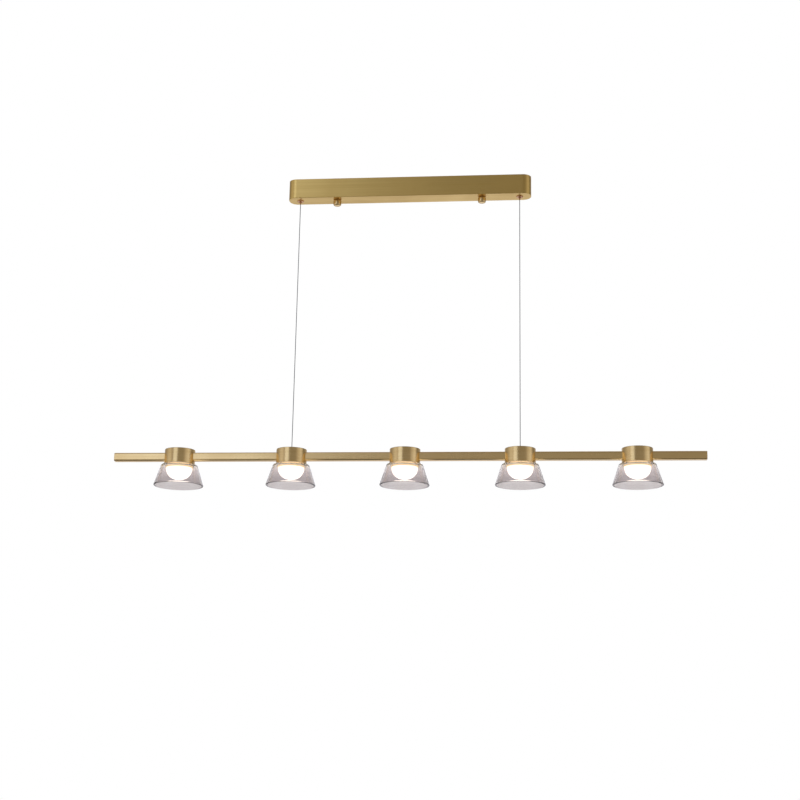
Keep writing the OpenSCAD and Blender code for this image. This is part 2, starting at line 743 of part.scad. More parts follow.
// Cup turned from one piece, threaded inside its mouth, with a square way through for the bar
module head_cup(i) {
    passage = bar_w + 2 * fit_gap;
    color(gold) at_head(i) difference() {
        rotate_extrude() polygon(rounded([
            [0, cup_top_z, 0],
            [cup_d / 2, cup_top_z, cup_edge_r],
            [cup_d / 2, cup_mouth_z, edge_break],
            [collar_d / 2 + running_gap, cup_mouth_z, 0],
            [collar_d / 2 + running_gap, cup_mouth_z + cup_lip_h, 0],
            [cup_d / 2 - cup_wall, cup_mouth_z + cup_lip_h, 0],
            [cup_d / 2 - cup_wall, cup_ceiling_z, 0],
            [0, cup_ceiling_z, 0]
        ]));
        rotate([90, 0, 90]) linear_extrude(cup_d + 2 * over, center = true)
            rounded_square(passage, bar_corner_r);
        if (len(search(i, wire_heads)) > 0) cylinder(r = bush_r, h = cup_h);
    }
}

// Plate under the bar, with fins that stand up on both sides of it
module heatsink(i) {
    air_gap = 2.5;
    fin_top = cup_ceiling_z - air_gap;
    first = bar_w / 2 + 2 * fit_gap;
    fins = floor((sink_r - 2 * fin_t - first) / fin_pitch);
    color("gainsboro") at_head(i) difference() {
        union() {
            translate([0, 0, board_top_z]) cylinder(r = sink_r, h = sink_t);
            intersection() {
                translate([0, 0, board_top_z]) cylinder(r = sink_r, h = fin_top - board_top_z);
                for (s = [-1, 1], k = [0:fins])
                    translate([-sink_r, s * (first + k * fin_pitch + fin_t / 2) - fin_t / 2, board_top_z])
                        cube([2 * sink_r, fin_t, fin_top - board_top_z]);
            }
        }
        translate([0, 0, board_top_z - over]) cylinder(d = lead_hole_d, h = sink_t + 2 * over);
        for (s = [-1, 1]) translate([s * screw_x, 0, board_top_z - over])
            cylinder(d = board_screw_d, h = sink_t + 2 * over);
    }
}

// Board with the light source in the middle of its lower face
board_screw_d = 3;
screw_x = board_d / 2 - 1.5 * board_screw_d;
module led_board(i) {
    color("white") at_head(i) difference() {
        union() {
            translate([0, 0, board_top_z - board_t]) cylinder(d = board_d, h = board_t);
            translate([0, 0, board_top_z - board_t - source_t]) cylinder(d = source_d, h = source_t);
        }
        for (s = [-1, 1]) translate([s * screw_x, 0, board_top_z - board_t - over])
            cylinder(d = board_screw_d, h = board_t + 2 * over);
    }
}

module board_screws() {
    head_d = 5.4;
    head_h = 1.5;
    color(steel) for (i = [1:heads], s = [-1, 1]) at_head(i)
    translate([s * screw_x, 0, board_top_z - board_t]) {
        cylinder(d = board_screw_d, h = board_t + sink_t, $fn = 24);
        translate([0, 0, -head_h]) cylinder(d = head_d, h = head_h, $fn = 24);
    }
}

// Ring that screws into the cup, holds the shade by its flange and takes the lens
module collar(i) {
    bore_r = collar_d / 2 - collar_wall;
    top = cup_mouth_z + cup_lip_h;
    color(gold) at_head(i) rotate_extrude() polygon(rounded([
        [bore_r, top, 0],
        [collar_d / 2, top, 0],
        [collar_d / 2, collar_flange_z, 0],
        [collar_flange_d / 2, collar_flange_z, edge_break],
        [collar_flange_d / 2, dome_z, 2 * edge_break],
        [bore_r, dome_z, 0]
    ]));
}

// Hollow dome on a threaded neck, open towards the light source
module lens(i) {
    inside_r = lens_neck_r - lens_wall;
    outer = [for (p = dome(lens_d / 2, lens_h)) p + [0, dome_z]];
    inner = [for (p = dome(inside_r, lens_h - lens_wall)) p + [0, dome_z]];
    reversed = [for (k = [len(inner) - 1:-1:0]) inner[k]];
    neck = [[inside_r, lens_neck_top_z], [lens_neck_r, lens_neck_top_z], [lens_neck_r, dome_z]];
    color([1, 0.97, 0.9]) at_head(i) rotate_extrude()
        polygon(concat(neck, outer, reversed));
}

module shade_gaskets() {
    color("ivory") for (i = [1:heads]) at_head(i) translate([0, 0, shade_top_z])
        ring(collar_d + 2 * seat_gap + 2 * gasket_w, collar_d + 2 * seat_gap, gasket_t);
}

// Open cone of glass with a flat top, a round shoulder and a round rim
module glass_shade(i) {
    rim_z = shade_top_z - shade_h;
    slope = (shade_rim_d - shade_top_d) / 2 / shade_h;
    inward = shade_wall * sqrt(1 + slope * slope);
    inner_top_z = shade_top_z - shade_top_t;
    rim_r = shade_wall * 0.45;
    inner_top_r = shade_top_d / 2 + slope * shade_top_t - inward;
    color(glass) at_head(i) rotate_extrude() polygon(rounded([
        [collar_d / 2 + 2 * fit_gap, shade_top_z, 0],
        [shade_top_d / 2, shade_top_z, shade_shoulder_r],
        [shade_rim_d / 2, rim_z, rim_r],
        [shade_rim_d / 2 - inward, rim_z, rim_r],
        [inner_top_r, inner_top_z, shade_shoulder_r / 2],
        [collar_d / 2 + 2 * fit_gap, inner_top_z, 0]
    ]));
}

mounting_bracket();
bracket_studs();
stud_lock_nuts();
canopy_cover();
grip_barrels();
grip_nuts();
driver_case();
driver_board();
case_screws();
terminal_block();
terminal_screws();
canopy_leads();
grip_swivels();
wire_tails();
anchor_bushes();
bar_tube();
bar_end_plugs();
bar_conductors();
shade_gaskets();
board_screws();
for (k = [0, 1]) {
    thumb_nut(2 * k - 1);
    plunger(2 * k - 1);
    plunger_spring(2 * k - 1);
    suspension_wire(2 * k - 1);
    wire_ferrule(2 * k - 1);
}
for (i = [1:heads]) {
    head_cup(i);
    heatsink(i);
    led_board(i);
    collar(i);
    lens(i);
    glass_shade(i);
}
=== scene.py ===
import math

import bmesh
import bpy
import numpy as np
from mathutils import Matrix, Vector


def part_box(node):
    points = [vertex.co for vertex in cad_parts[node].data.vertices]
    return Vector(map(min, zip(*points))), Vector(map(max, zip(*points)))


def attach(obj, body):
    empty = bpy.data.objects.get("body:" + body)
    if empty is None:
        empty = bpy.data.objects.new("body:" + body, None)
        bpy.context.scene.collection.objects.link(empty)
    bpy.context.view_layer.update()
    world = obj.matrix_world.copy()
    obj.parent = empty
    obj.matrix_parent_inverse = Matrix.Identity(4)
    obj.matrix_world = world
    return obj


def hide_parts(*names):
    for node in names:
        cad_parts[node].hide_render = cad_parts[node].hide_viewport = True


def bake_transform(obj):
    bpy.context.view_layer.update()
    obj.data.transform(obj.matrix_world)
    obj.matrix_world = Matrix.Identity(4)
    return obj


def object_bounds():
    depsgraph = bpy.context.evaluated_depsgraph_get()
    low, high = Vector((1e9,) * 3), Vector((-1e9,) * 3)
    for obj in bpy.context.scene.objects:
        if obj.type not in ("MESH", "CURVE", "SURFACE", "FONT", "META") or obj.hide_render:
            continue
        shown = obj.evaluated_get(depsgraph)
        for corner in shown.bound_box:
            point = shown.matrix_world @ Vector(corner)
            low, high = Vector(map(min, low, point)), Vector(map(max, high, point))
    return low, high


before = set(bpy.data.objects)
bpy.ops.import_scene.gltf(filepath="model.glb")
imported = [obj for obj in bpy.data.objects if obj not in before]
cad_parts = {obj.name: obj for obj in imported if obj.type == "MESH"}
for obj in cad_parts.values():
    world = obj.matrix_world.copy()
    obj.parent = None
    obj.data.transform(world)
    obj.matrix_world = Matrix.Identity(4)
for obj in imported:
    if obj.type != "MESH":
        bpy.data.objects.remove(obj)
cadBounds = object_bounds()
mm = 0.001
pole = 0.02 * mm  # radius at which a turned profile ends on its axis, closed by a small flat face
edge = {"deburred": 0.1 * mm, "broken": 0.15 * mm, "eased": 0.2 * mm, "soft": 0.3 * mm}  # radii
heads = range(1, 6)
sides = {"left": -1, "right": 1}
print("frame loaded")


# Places read from the frame

def low(node):
    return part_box(node)[0]


def high(node):
    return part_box(node)[1]


def middle(node):
    return (low(node) + high(node)) / 2


def radiusOf(node):
    return (high(node).x - low(node).x) / 2


def heightsOf(node):
    return low(node).z, high(node).z


barZ = middle("bar_tube").z
wireX = {s: middle("suspension_wire_" + s).x for s in sides}
studX = {s: middle("thumb_nut_" + s).x for s in sides}
headX = {i: middle(f"head_cup_{i}").x for i in heads}


# Camera, as the photograph was taken

photoView = {
    "place": (0.291775, -2.855861, -1.178062),
    "yaw": -0.106,
    "pitch": 0.239,
    "roll": 0.018,
    "focalPixels": 1450,
    "framePixels": 800,  # the picture is square
    "sensor": 36,
    "farthest": 60,
}


# Forward is (sin yaw cos pitch, cos yaw cos pitch, sin pitch); right and up are turned about it by the roll
def makeCamera(v):
    yaw, pitch, roll = v["yaw"], v["pitch"], v["roll"]
    forward = Vector((math.sin(yaw) * math.cos(pitch), math.cos(yaw) * math.cos(pitch), math.sin(pitch)))
    level = Vector((math.cos(yaw), -math.sin(yaw), 0))
    upright = level.cross(forward)
    right = math.cos(roll) * level + math.sin(roll) * upright
    up = math.cos(roll) * upright - math.sin(roll) * level
    camera = bpy.data.objects.new("photoCamera", bpy.data.cameras.new("photoCamera"))
    bpy.context.scene.collection.objects.link(camera)
    aimed = Matrix((right, up, -forward)).transposed().to_4x4()
    aimed.translation = v["place"]
    camera.matrix_world = aimed
    camera.data.sensor_width = v["sensor"]
    camera.data.lens = v["sensor"] * v["focalPixels"] / v["framePixels"]
    camera.data.clip_end = v["farthest"]
    bpy.context.scene.camera = camera


makeCamera(photoView)
print("camera made")


# Surfaces

creaseAngle = math.radians(32)
held = {"usual": 0.15 * mm, "short": 0.1 * mm, "least": 0.05 * mm}  # flat kept before and after an arc


# Corner b between a and c becomes an arc of radius r about b + (u + v) r / sin(half angle), with a point
# held a little way before and after it, so that flat stretches stay flat when they are shaded smooth
def roundedPath(corners, closed=False, steps=8, hold=held["usual"]):
    pts = np.array([c[:2] for c in corners], float)
    radii = [c[2] for c in corners]
    before, after = np.roll(pts, 1, 0) - pts, np.roll(pts, -1, 0) - pts
    made = []
    for k, (b, u, v, r) in enumerate(zip(pts, before, after, radii)):
        if r <= 0 or (not closed and k in (0, len(pts) - 1)):
            made.append(b[None])
            continue
        u, v = u / np.linalg.norm(u), v / np.linalg.norm(v)
        half = math.acos(np.clip(u @ v, -1, 1)) / 2
        centre = b + (u + v) / np.linalg.norm(u + v) * r / math.sin(half)
        reach = r / math.tan(half)
        first, last = b + u * reach - centre, b + v * reach - centre
        sweep = math.atan2(first[0] * last[1] - first[1] * last[0], first @ last)
        a = math.atan2(first[1], first[0]) + np.linspace(0, sweep, steps + 1)
        arc = centre + r * np.stack([np.cos(a), np.sin(a)], 1)
        made.append(np.vstack([b + u * (reach + hold), arc, b + v * (reach + hold)]))
    return np.vstack(made)


# Skin over rings[i, j], point j of ring i: quads join neighbours, and a flat face closes each end.
# The map's u runs round a ring and its v along the stack, both in metres
def skin(name, rings, closed=False):
    n, m = rings.shape[:2]
    i, j = np.meshgrid(np.arange(n if closed else n - 1), np.arange(m), indexing="ij")
    near, far, side = i * m, (i + 1) % n * m, (j + 1) % m
    faces = np.stack([near + j, near + side, far + side, far + j], -1).reshape(-1, 4).tolist()
    around = np.linalg.norm(np.roll(rings, -1, 1) - rings, axis=2).sum(1).max() / m
    steps = np.linalg.norm(np.roll(rings, -1, 0) - rings, axis=2).mean(1)
    along = np.concatenate([[0], np.cumsum(steps)])
    u = np.stack([j, j + 1, j + 1, j], -1).reshape(-1) * around
    v = along[np.stack([i, i, i + 1, i + 1], -1).reshape(-1)]
    if not closed:
        faces += [list(range(m))[::-1], list(range((n - 1) * m, n * m))]
        u = np.concatenate([u, np.arange(m)[::-1] * around, np.arange(m) * around])
        v = np.concatenate([v, np.zeros(m), np.full(m, along[n - 1])])
    mesh = bpy.data.meshes.new(name)
    mesh.from_pydata(rings.reshape(-1, 3).tolist(), [], faces)
    grain = mesh.uv_layers.new(name="grain")
    grain.data.foreach_set("uv", np.stack([u, v], 1).astype(np.float32).ravel())
    turnOutward(mesh)
    piece = bpy.data.objects.new(name, mesh)
    bpy.context.scene.collection.objects.link(piece)
    return piece


# Faces turned outward, and everything shaded smooth but the creases
def turnOutward(mesh):
    shape = bmesh.new()
    shape.from_mesh(mesh)
    bmesh.ops.recalc_face_normals(shape, faces=shape.faces)
    if shape.calc_volume(signed=True) < 0:
        bmesh.ops.reverse_faces(shape, faces=shape.faces)
    shape.to_mesh(mesh)
    shape.free()
    mesh.polygons.foreach_set("use_smooth", np.ones(len(mesh.polygons), bool))
    mesh.set_sharp_from_angle(angle=creaseAngle)


# Turned about an upright axis at x: profile point (r, z) goes round as (x + r cos a, r sin a, z)
def turned(name, profile, x, around=64, closed=False):
    a = np.linspace(0, 2 * np.pi, around, endpoint=False)
    r, z = profile[:, :1], profile[:, 1:]
    return skin(name, np.stack([x + r * np.cos(a), r * np.sin(a), z + 0 * a], -1), closed)


# Outline of a rounded rectangle as corner centres and unit ways: a point is centre + radius * way.
# The first and last point of each corner are held a little way along the straight side
def rectOutline(length, width, r, steps=8, hold=held["usual"]):
    a = np.arange(4)[:, None] * np.pi / 2 + np.linspace(0, np.pi / 2, steps + 1)
    a = np.hstack([a[:, :1], a, a[:, -1:]])
    ways = np.stack([np.cos(a), np.sin(a)], -1)
    corner = np.array([[1, 1], [-1, 1], [-1, -1], [1, -1]]) * [length / 2 - r, width / 2 - r]
    centres = np.repeat(corner[:, None].astype(float), a.shape[1], 1)
    along = np.stack([-ways[..., 1], ways[..., 0]], -1)
    centres[:, 0] -= hold * along[:, 0]
    centres[:, -1] += hold * along[:, -1]
    return centres.reshape(-1, 2), ways.reshape(-1, 2)


# Box with rounded upright corners, x by y: ring k lies at height z and is set in by inset from the outline
def boxed(name, length, width, r, profile):
    centres, ways = rectOutline(length, width, r)
    inset, z = profile[:, :1, None], profile[:, 1:]
    flat = centres + (r - inset) * ways
    levels = np.broadcast_to(z[..., None], flat.shape[:2] + (1,))
    return skin(name, np.concatenate([flat, levels], -1))


# Section carried along a path: ring i is path[i] + u[i] s0 + w[i] s1, where u and w are square to the
# path's way and s is a point of the section, itself turned by twist[i]
def swept(name, path, outline, twist=None):
    ways = np.gradient(path, axis=0)
    ways /= np.linalg.norm(ways, axis=1, keepdims=True)
    u = np.cross(ways, np.full(3, 3 ** -0.5))
    u /= np.linalg.norm(u, axis=1, keepdims=True)
    w = np.cross(ways, u)
    c, t = (np.cos(twist)[:, None], np.sin(twist)[:, None]) if twist is not None else (1, 0)
    s0, s1 = outline[:, 0] * c - outline[:, 1] * t, outline[:, 0] * t + outline[:, 1] * c
    s0, s1 = (np.broadcast_to(s, (len(path), len(outline)))[..., None] for s in (s0, s1))
    return skin(name, path[:, None] + u[:, None] * s0 + w[:, None] * s1)


# Circle of radius r, or with lobes the outline of that many strands: r (1 - depth (1 - |cos(lobes a / 2)|))
def section(r, points, lobes=0, depth=0.0):
    a = np.linspace(0, 2 * np.pi, points, endpoint=False)
    r = r * (1 - depth * (1 - np.abs(np.cos(lobes * a / 2))))
    return np.stack([r * np.cos(a), r * np.sin(a)], 1)


# Smooth curve through route points: on each span the cubic of its two ends and their two neighbours
def smoothRoute(points, each=8):
    p = np.array(points, float)
    p = np.vstack([2 * p[0] - p[1], p, 2 * p[-1] - p[-2]])
    t = np.linspace(0, 1, each, endpoint=False)[:, None, None]
    a, b, c, d = p[:-3], p[1:-2], p[2:-1], p[3:]
    spans = b + 0.5 * ((c - a) * t + (2 * a - 5 * b + 4 * c - d) * t ** 2 + (3 * b - a - 3 * c + d) * t ** 3)
    return np.vstack([spans.transpose(1, 0, 2).reshape(-1, 3), p[-2]])


# Screw thread: r = outer - depth * triangle wave of (z / pitch - a / 2 pi), from z0 up to z1
def threaded(name, x, z0, z1, outer, pitch, depth, around=32, perTurn=8, bore=0.0):
    count = int((z1 - z0) / pitch * perTurn) + 1
    z = np.linspace(z0, z1, count)[:, None]
    a = np.linspace(0, 2 * np.pi, around, endpoint=False)
    wave = np.abs(((z / pitch - a / (2 * np.pi)) % 1) * 2 - 1)
    ends = np.clip(np.minimum(z - z0, z1 - z) / pitch, 0, 1)
    r = outer - depth * (1 - wave * ends)
    rings = np.stack([x + r * np.cos(a), r * np.sin(a), z + 0 * a], -1)
    if not bore:
        return skin(name, rings)
    inner = np.stack([x + bore * np.cos(a), bore * np.sin(a), 0 * a], -1)
    return skin(name, np.concatenate([rings, [inner + [0, 0, z1], inner + [0, 0, z0]]]), closed=True)


# What the cutters fill is taken out of the piece, and the cutters are thrown away
def cut(piece, cutters):
    for cutter in cutters:
        way = piece.modifiers.new("cut", "BOOLEAN")
        way.operation, way.solver, way.object = "DIFFERENCE", "EXACT", cutter
    bpy.context.view_layer.update()
    shaped = bpy.data.meshes.new_from_object(piece.evaluated_get(bpy.context.evaluated_depsgraph_get()))
    piece.modifiers.clear()
    piece.data = shaped
    for cutter in cutters:
        bpy.data.objects.remove(cutter)
    turnOutward(shaped)


def dress(piece, material, body=None, replaced=()):
    piece.data.materials.clear()
    piece.data.materials.append(material)
    if body:
        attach(piece, body)
    if replaced:
        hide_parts(*replaced)


# Nodes: a value is a constant or the socket that feeds it

def feed(tree, node, values):
    for key, value in values.items():
        if isinstance(value, bpy.types.NodeSocket):
            tree.links.new(value, node.inputs[key])
        else:
            node.inputs[key].default_value = value


# A new node with its settings, and its inputs by name or counted as i0, i1 and so on
def put(tree, kind, settings=(), **values):
    node = tree.nodes.new(kind)
    for key, value in dict(settings).items():
        setattr(node, key, value)
    feed(tree, node, {int(k[1:]) if k[1:].isdigit() else k: v for k, v in values.items()})
    return node


def useGroup(tree, group, **values):
    return put(tree, "ShaderNodeGroup", {"node_tree": group}, **values).outputs


# Colour between a and b, by a factor that varies over the surface
def mixed(tree, factor, a, b):
    a, b = (c if isinstance(c, bpy.types.NodeSocket) else (*c, 1) for c in (a, b))
    return put(tree, "ShaderNodeMix", {"data_type": "RGBA"}, i0=factor, i6=a, i7=b).outputs[2]


def maths(tree, operation, *values):
    node = put(tree, "ShaderNodeMath", {"operation": operation})
    feed(tree, node, dict(enumerate(values)))
    return node.outputs[0]


# The range from fromLow to fromHigh becomes toLow to toHigh, straight between them
def ranged(tree, value, toLow, toHigh, fromLow=0.0, fromHigh=1.0):
    return put(tree, "ShaderNodeMapRange", i0=value, i1=fromLow, i2=fromHigh, i3=toLow, i4=toHigh).outputs[0]


# 0 below first, 1 above last, and a smooth step between them
def smoothMask(tree, value, first, last):
    settings = {"interpolation_type": "SMOOTHSTEP"}
    return put(tree, "ShaderNodeMapRange", settings, i0=value, i1=first, i2=last).outputs[0]


# Shared effects, each one node group

number, vector = "NodeSocketFloat", "NodeSocketVector"
effects = {"lineDepth": 0.02 * mm, "lineFrom": 0.3, "lineTo": 0.7, "wideShare": 0.35,
           "dullFrom": 0.42, "dullTo": 0.72, "pitDepth": 0.03 * mm}


def newGroup(name, inputs, outputs):
    group = bpy.data.node_groups.new(name, "ShaderNodeTree")
    for label, kind, value in inputs:
        socket = group.interface.new_socket(label, in_out="INPUT", socket_type=kind)
        if value is not None:
            socket.default_value = value
    for label, kind in outputs:
        group.interface.new_socket(label, in_out="OUTPUT", socket_type=kind)
    return group, group.nodes.new("NodeGroupInput").outputs, group.nodes.new("NodeGroupOutput")


# Fine parallel lines of a brush: noise on a coordinate that the material stretches along the grain
def makeGrainLines():
    group, given, out = newGroup("grainLines", [("Vector", vector, None), ("Bump", number, 0.1)],
                                 [("Lines", number), ("Normal", vector)])
    fine = put(group, "ShaderNodeTexNoise", Vector=given["Vector"], Scale=1, Detail=3, Roughness=0.6)
    wide = put(group, "ShaderNodeTexNoise", Vector=given["Vector"], Scale=0.17, Detail=2, Roughness=0.5)
    both = put(group, "ShaderNodeMix", Factor=effects["wideShare"], A=fine.outputs["Fac"],
               B=wide.outputs["Fac"]).outputs[0]
    lines = smoothMask(group, both, effects["lineFrom"], effects["lineTo"])
    bump = put(group, "ShaderNodeBump", Distance=effects["lineDepth"], Height=lines, Strength=given["Bump"])
    feed(group, out, {"Lines": lines, "Normal": bump.outputs[0]})
    return group


# Soft blotches where hands, cloths and dust have dulled a finish
def makeHandling():
    group, given, out = newGroup("handling", [("Vector", vector, None), ("Scale", number, 20)],
                                 [("Mask", number)])
    cloud = put(group, "ShaderNodeTexNoise", Vector=given["Vector"], Scale=given["Scale"], Detail=4,
                Distortion=0.4).outputs["Fac"]
    feed(group, out, {"Mask": smoothMask(group, cloud, effects["dullFrom"], effects["dullTo"])})
    return group


# Pits and grains of a moulded, cast or plated surface
def makeSpeckle():
    inputs = [("Vector", vector, None), ("Scale", number, 900), ("Bump", number, 0.2)]
    group, given, out = newGroup("speckle", inputs, [("Mask", number), ("Normal", vector)])
    cells = put(group, "ShaderNodeTexVoronoi", Vector=given["Vector"], Scale=given["Scale"])
    grains = cells.outputs["Distance"]
    bump = put(group, "ShaderNodeBump", Distance=effects["pitDepth"], Height=grains, Strength=given["Bump"])
    feed(group, out, {"Mask": grains, "Normal": bump.outputs[0]})
    return group


grainLines, handling, speckle = makeGrainLines(), makeHandling(), makeSpeckle()


def startMaterial(name):
    material = bpy.data.materials.new(name)
    material.use_nodes = True
    tree = material.node_tree
    return material, tree, tree.nodes["Principled BSDF"], tree.nodes.new("ShaderNodeTexCoord").outputs


def dullness(tree, coordinate, m):
    return useGroup(tree, handling, Vector=coordinate["Object"], Scale=m["blotches"])["Mask"]


# 0 below one height, 1 above another, straight between them
def rising(tree, coordinate, below, above):
    height = put(tree, "ShaderNodeSeparateXYZ", Vector=coordinate["Object"]).outputs["Z"]
    return ranged(tree, height, 0, 1, below, above)


# Brushed and lacquered metal: the lines lighten, darken and roughen it, and handling dulls it in places.
# stretch is how many lines a metre holds in each direction of the chosen coordinate
def brushedMetal(name, m):
    material, tree, shader, coordinate = startMaterial(name)
    stretched = put(tree, "ShaderNodeMapping", Vector=coordinate[m["coordinate"]], Scale=m["stretch"])
    lines = useGroup(tree, grainLines, Vector=stretched.outputs[0], Bump=m["bump"])
    dull = dullness(tree, coordinate, m)
    tone = mixed(tree, lines["Lines"], m["dark"], m["light"])
    rough = ranged(tree, lines["Lines"], m["roughness"] + m["spread"], m["roughness"])
    feed(tree, shader, {
        "Base Color": mixed(tree, dull, tone, m["dulled"]), "Normal": lines["Normal"], "Metallic": 1,
        "Roughness": maths(tree, "MULTIPLY_ADD", dull, m["spread"], rough),
    })
    if "paintedGlow" in m:  # painted glow: emission on the metal, for the lens's light falling on it
        feed(tree, shader, {"Emission Color": (*m["paintedGlow"], 1), "Emission Strength": m["strength"]})
    return material


# Plated, cast, painted or moulded stuff: fine speckle in its surface, blotches in its tone and gloss
def plainStuff(name, m):
    material, tree, shader, coordinate = startMaterial(name)
    grains = useGroup(tree, speckle, Vector=coordinate["Object"], Scale=m["grains"], Bump=m["bump"])
    dull = dullness(tree, coordinate, m)
    tone = mixed(tree, dull, m["light"], m["dark"])
    feed(tree, shader, {
        "Base Color": mixed(tree, grains["Mask"], tone, m["grain"]), "Normal": grains["Normal"],
        "Roughness": ranged(tree, dull, m["roughness"], m["roughness"] + m["spread"]),
        "Metallic": m.get("metallic", 0),
    })
    return material


# Smoke-tinted clear glass, a little uneven as in blown glass, deepest at its rim and fading towards its top
def tintedGlass(name, m):
    material, tree, shader, coordinate = startMaterial(name)
    dull = dullness(tree, coordinate, m)
    clear = rising(tree, coordinate, m["tintedBelow"], m["clearAbove"])
    pale = rising(tree, coordinate, m["rimBelow"], m["tintedAbove"])
    tint = mixed(tree, pale, m["rimTint"], mixed(tree, dull, m["tint"], m["deeper"]))
    feed(tree, shader, {
        "Base Color": mixed(tree, clear, tint, m["topTint"]), "IOR": m["ior"],
        "Roughness": ranged(tree, dull, m["roughness"], m["roughness"] + m["spread"]),
        "Transmission Weight": m["clear"],
    })
    return material


# Frosted diffuser, lit from inside: warmer and dimmer near its collar than at its pole
def litDiffuser(name, m):
    material, tree, shader, coordinate = startMaterial(name)
    grains = useGroup(tree, speckle, Vector=coordinate["Object"], Scale=m["grains"], Bump=m["bump"])
    warmth = rising(tree, coordinate, m["coolBelow"], m["warmAbove"])
    feed(tree, shader, {
        "Base Color": mixed(tree, grains["Mask"], m["light"], m["dark"]), "Normal": grains["Normal"],
        "Roughness": ranged(tree, grains["Mask"], m["roughness"], m["roughness"] + m["spread"]),
        "Emission Color": mixed(tree, warmth, m["cool"], m["warm"]), "Emission Strength": m["strength"],
    })
    return material


goldTones = {"light": (0.84, 0.62, 0.295), "dark": (0.73, 0.51, 0.205), "dulled": (0.74, 0.52, 0.22)}
brushed = {
    # The bar's gold is the cups' gold painted paler: its lighter tones are painted light, for the brighter
    # reflections along the bar
    "barGoldPaintedBright": {"light": (0.96, 0.72, 0.35), "dark": (0.90, 0.64, 0.27), "dulled": (0.90, 0.64, 0.28),
                "coordinate": "Object", "stretch": (5, 1500, 1500), "blotches": 9,
                "roughness": 0.24, "spread": 0.06, "bump": 0.12},
    "turnedGold": {**goldTones, "coordinate": "UV", "stretch": (14, 1700, 1), "blotches": 16,
                   "roughness": 0.20, "spread": 0.06, "bump": 0.12},
    # The collar's gold is painted paler than the cups' and given a weak emission: painted light of the lens
    # falling on it
    "collarGoldPaintedGlow": {"light": (0.96, 0.76, 0.44), "dark": (0.88, 0.67, 0.36), "dulled": (0.86, 0.66, 0.36),
                   "coordinate": "UV", "stretch": (14, 1700, 1), "blotches": 16,
                   "roughness": 0.46, "spread": 0.06, "bump": 0.12, "paintedGlow": (1, 0.74, 0.42), "strength": 0.4},
    "sheetGold": {"light": (0.85, 0.60, 0.20), "dark": (0.74, 0.50, 0.145), "dulled": (0.75, 0.51, 0.155),
                  "coordinate": "Object", "stretch": (4, 1100, 1100), "blotches": 7,
                  "roughness": 0.27, "spread": 0.08, "bump": 0.15},
    "warmBrass": {"light": (0.86, 0.52, 0.27), "dark": (0.66, 0.37, 0.18), "dulled": (0.62, 0.36, 0.18),
                  "coordinate": "UV", "stretch": (14, 2200, 1), "blotches": 60,
                  "roughness": 0.28, "spread": 0.10, "bump": 0.15},
    "drawnSteel": {"light": (0.28, 0.28, 0.29), "dark": (0.15, 0.15, 0.16), "dulled": (0.18, 0.18, 0.19),
                   "coordinate": "UV", "stretch": (1500, 30, 1), "blotches": 40,
                   "roughness": 0.30, "spread": 0.12, "bump": 0.1},
    "springSteel": {"light": (0.50, 0.51, 0.54), "dark": (0.33, 0.34, 0.36), "dulled": (0.30, 0.30, 0.32),
                    "coordinate": "UV", "stretch": (2500, 60, 1), "blotches": 200,
                    "roughness": 0.25, "spread": 0.10, "bump": 0.1},
}
plain = {
    "zincPlate": {"light": (0.60, 0.61, 0.62), "dark": (0.45, 0.46, 0.48), "grain": (0.66, 0.66, 0.64),
                  "grains": 350, "blotches": 70,
                  "roughness": 0.34, "spread": 0.18, "bump": 0.08, "metallic": 1},
    "castAluminium": {"light": (0.70, 0.70, 0.71), "dark": (0.56, 0.57, 0.58), "grain": (0.74, 0.74, 0.74),
                      "grains": 900, "blotches": 60,
                      "roughness": 0.42, "spread": 0.15, "bump": 0.2, "metallic": 1},
    "boardMask": {"light": (0.86, 0.87, 0.86), "dark": (0.80, 0.81, 0.80), "grain": (0.88, 0.88, 0.86),
                  "grains": 1500, "blotches": 50, "roughness": 0.30, "spread": 0.12, "bump": 0.08},
    "caseWhite": {"light": (0.80, 0.81, 0.80), "dark": (0.72, 0.72, 0.70), "grain": (0.82, 0.82, 0.81),
                  "grains": 1200, "blotches": 30, "roughness": 0.45, "spread": 0.12, "bump": 0.25},
    "circuitGreen": {"light": (0.02, 0.16, 0.07), "dark": (0.015, 0.11, 0.05), "grain": (0.03, 0.20, 0.09),
                     "grains": 700, "blotches": 90, "roughness": 0.28, "spread": 0.12, "bump": 0.1},
    "naturalNylon": {"light": (0.80, 0.79, 0.74), "dark": (0.72, 0.71, 0.65), "grain": (0.83, 0.82, 0.77),
                     "grains": 1400, "blotches": 80, "roughness": 0.38, "spread": 0.12, "bump": 0.15},
    "screwBrass": {"light": (0.74, 0.56, 0.27), "dark": (0.55, 0.39, 0.17), "grain": (0.78, 0.60, 0.30),
                   "grains": 1800, "blotches": 150,
                   "roughness": 0.28, "spread": 0.15, "bump": 0.12, "metallic": 1},
    "clearSilicone": {"light": (0.86, 0.83, 0.78), "dark": (0.78, 0.75, 0.70), "grain": (0.90, 0.88, 0.84),
                      "grains": 1600, "blotches": 60, "roughness": 0.45, "spread": 0.15, "bump": 0.2},
}
sleeveLook = {"darker": 0.7, "paler": 1.15, "tones": {
    "Brown": (0.13, 0.055, 0.025), "Blue": (0.03, 0.10, 0.36), "Black": (0.02, 0.02, 0.022),
    "Red": (0.42, 0.02, 0.02),
}}
for tone, c in sleeveLook["tones"].items():
    plain["sleeve" + tone] = {
        "light": c, "dark": tuple(sleeveLook["darker"] * k for k in c),
        "grain": tuple(sleeveLook["paler"] * k for k in c),
        "grains": 1300, "blotches": 90, "roughness": 0.36, "spread": 0.14, "bump": 0.12,
    }
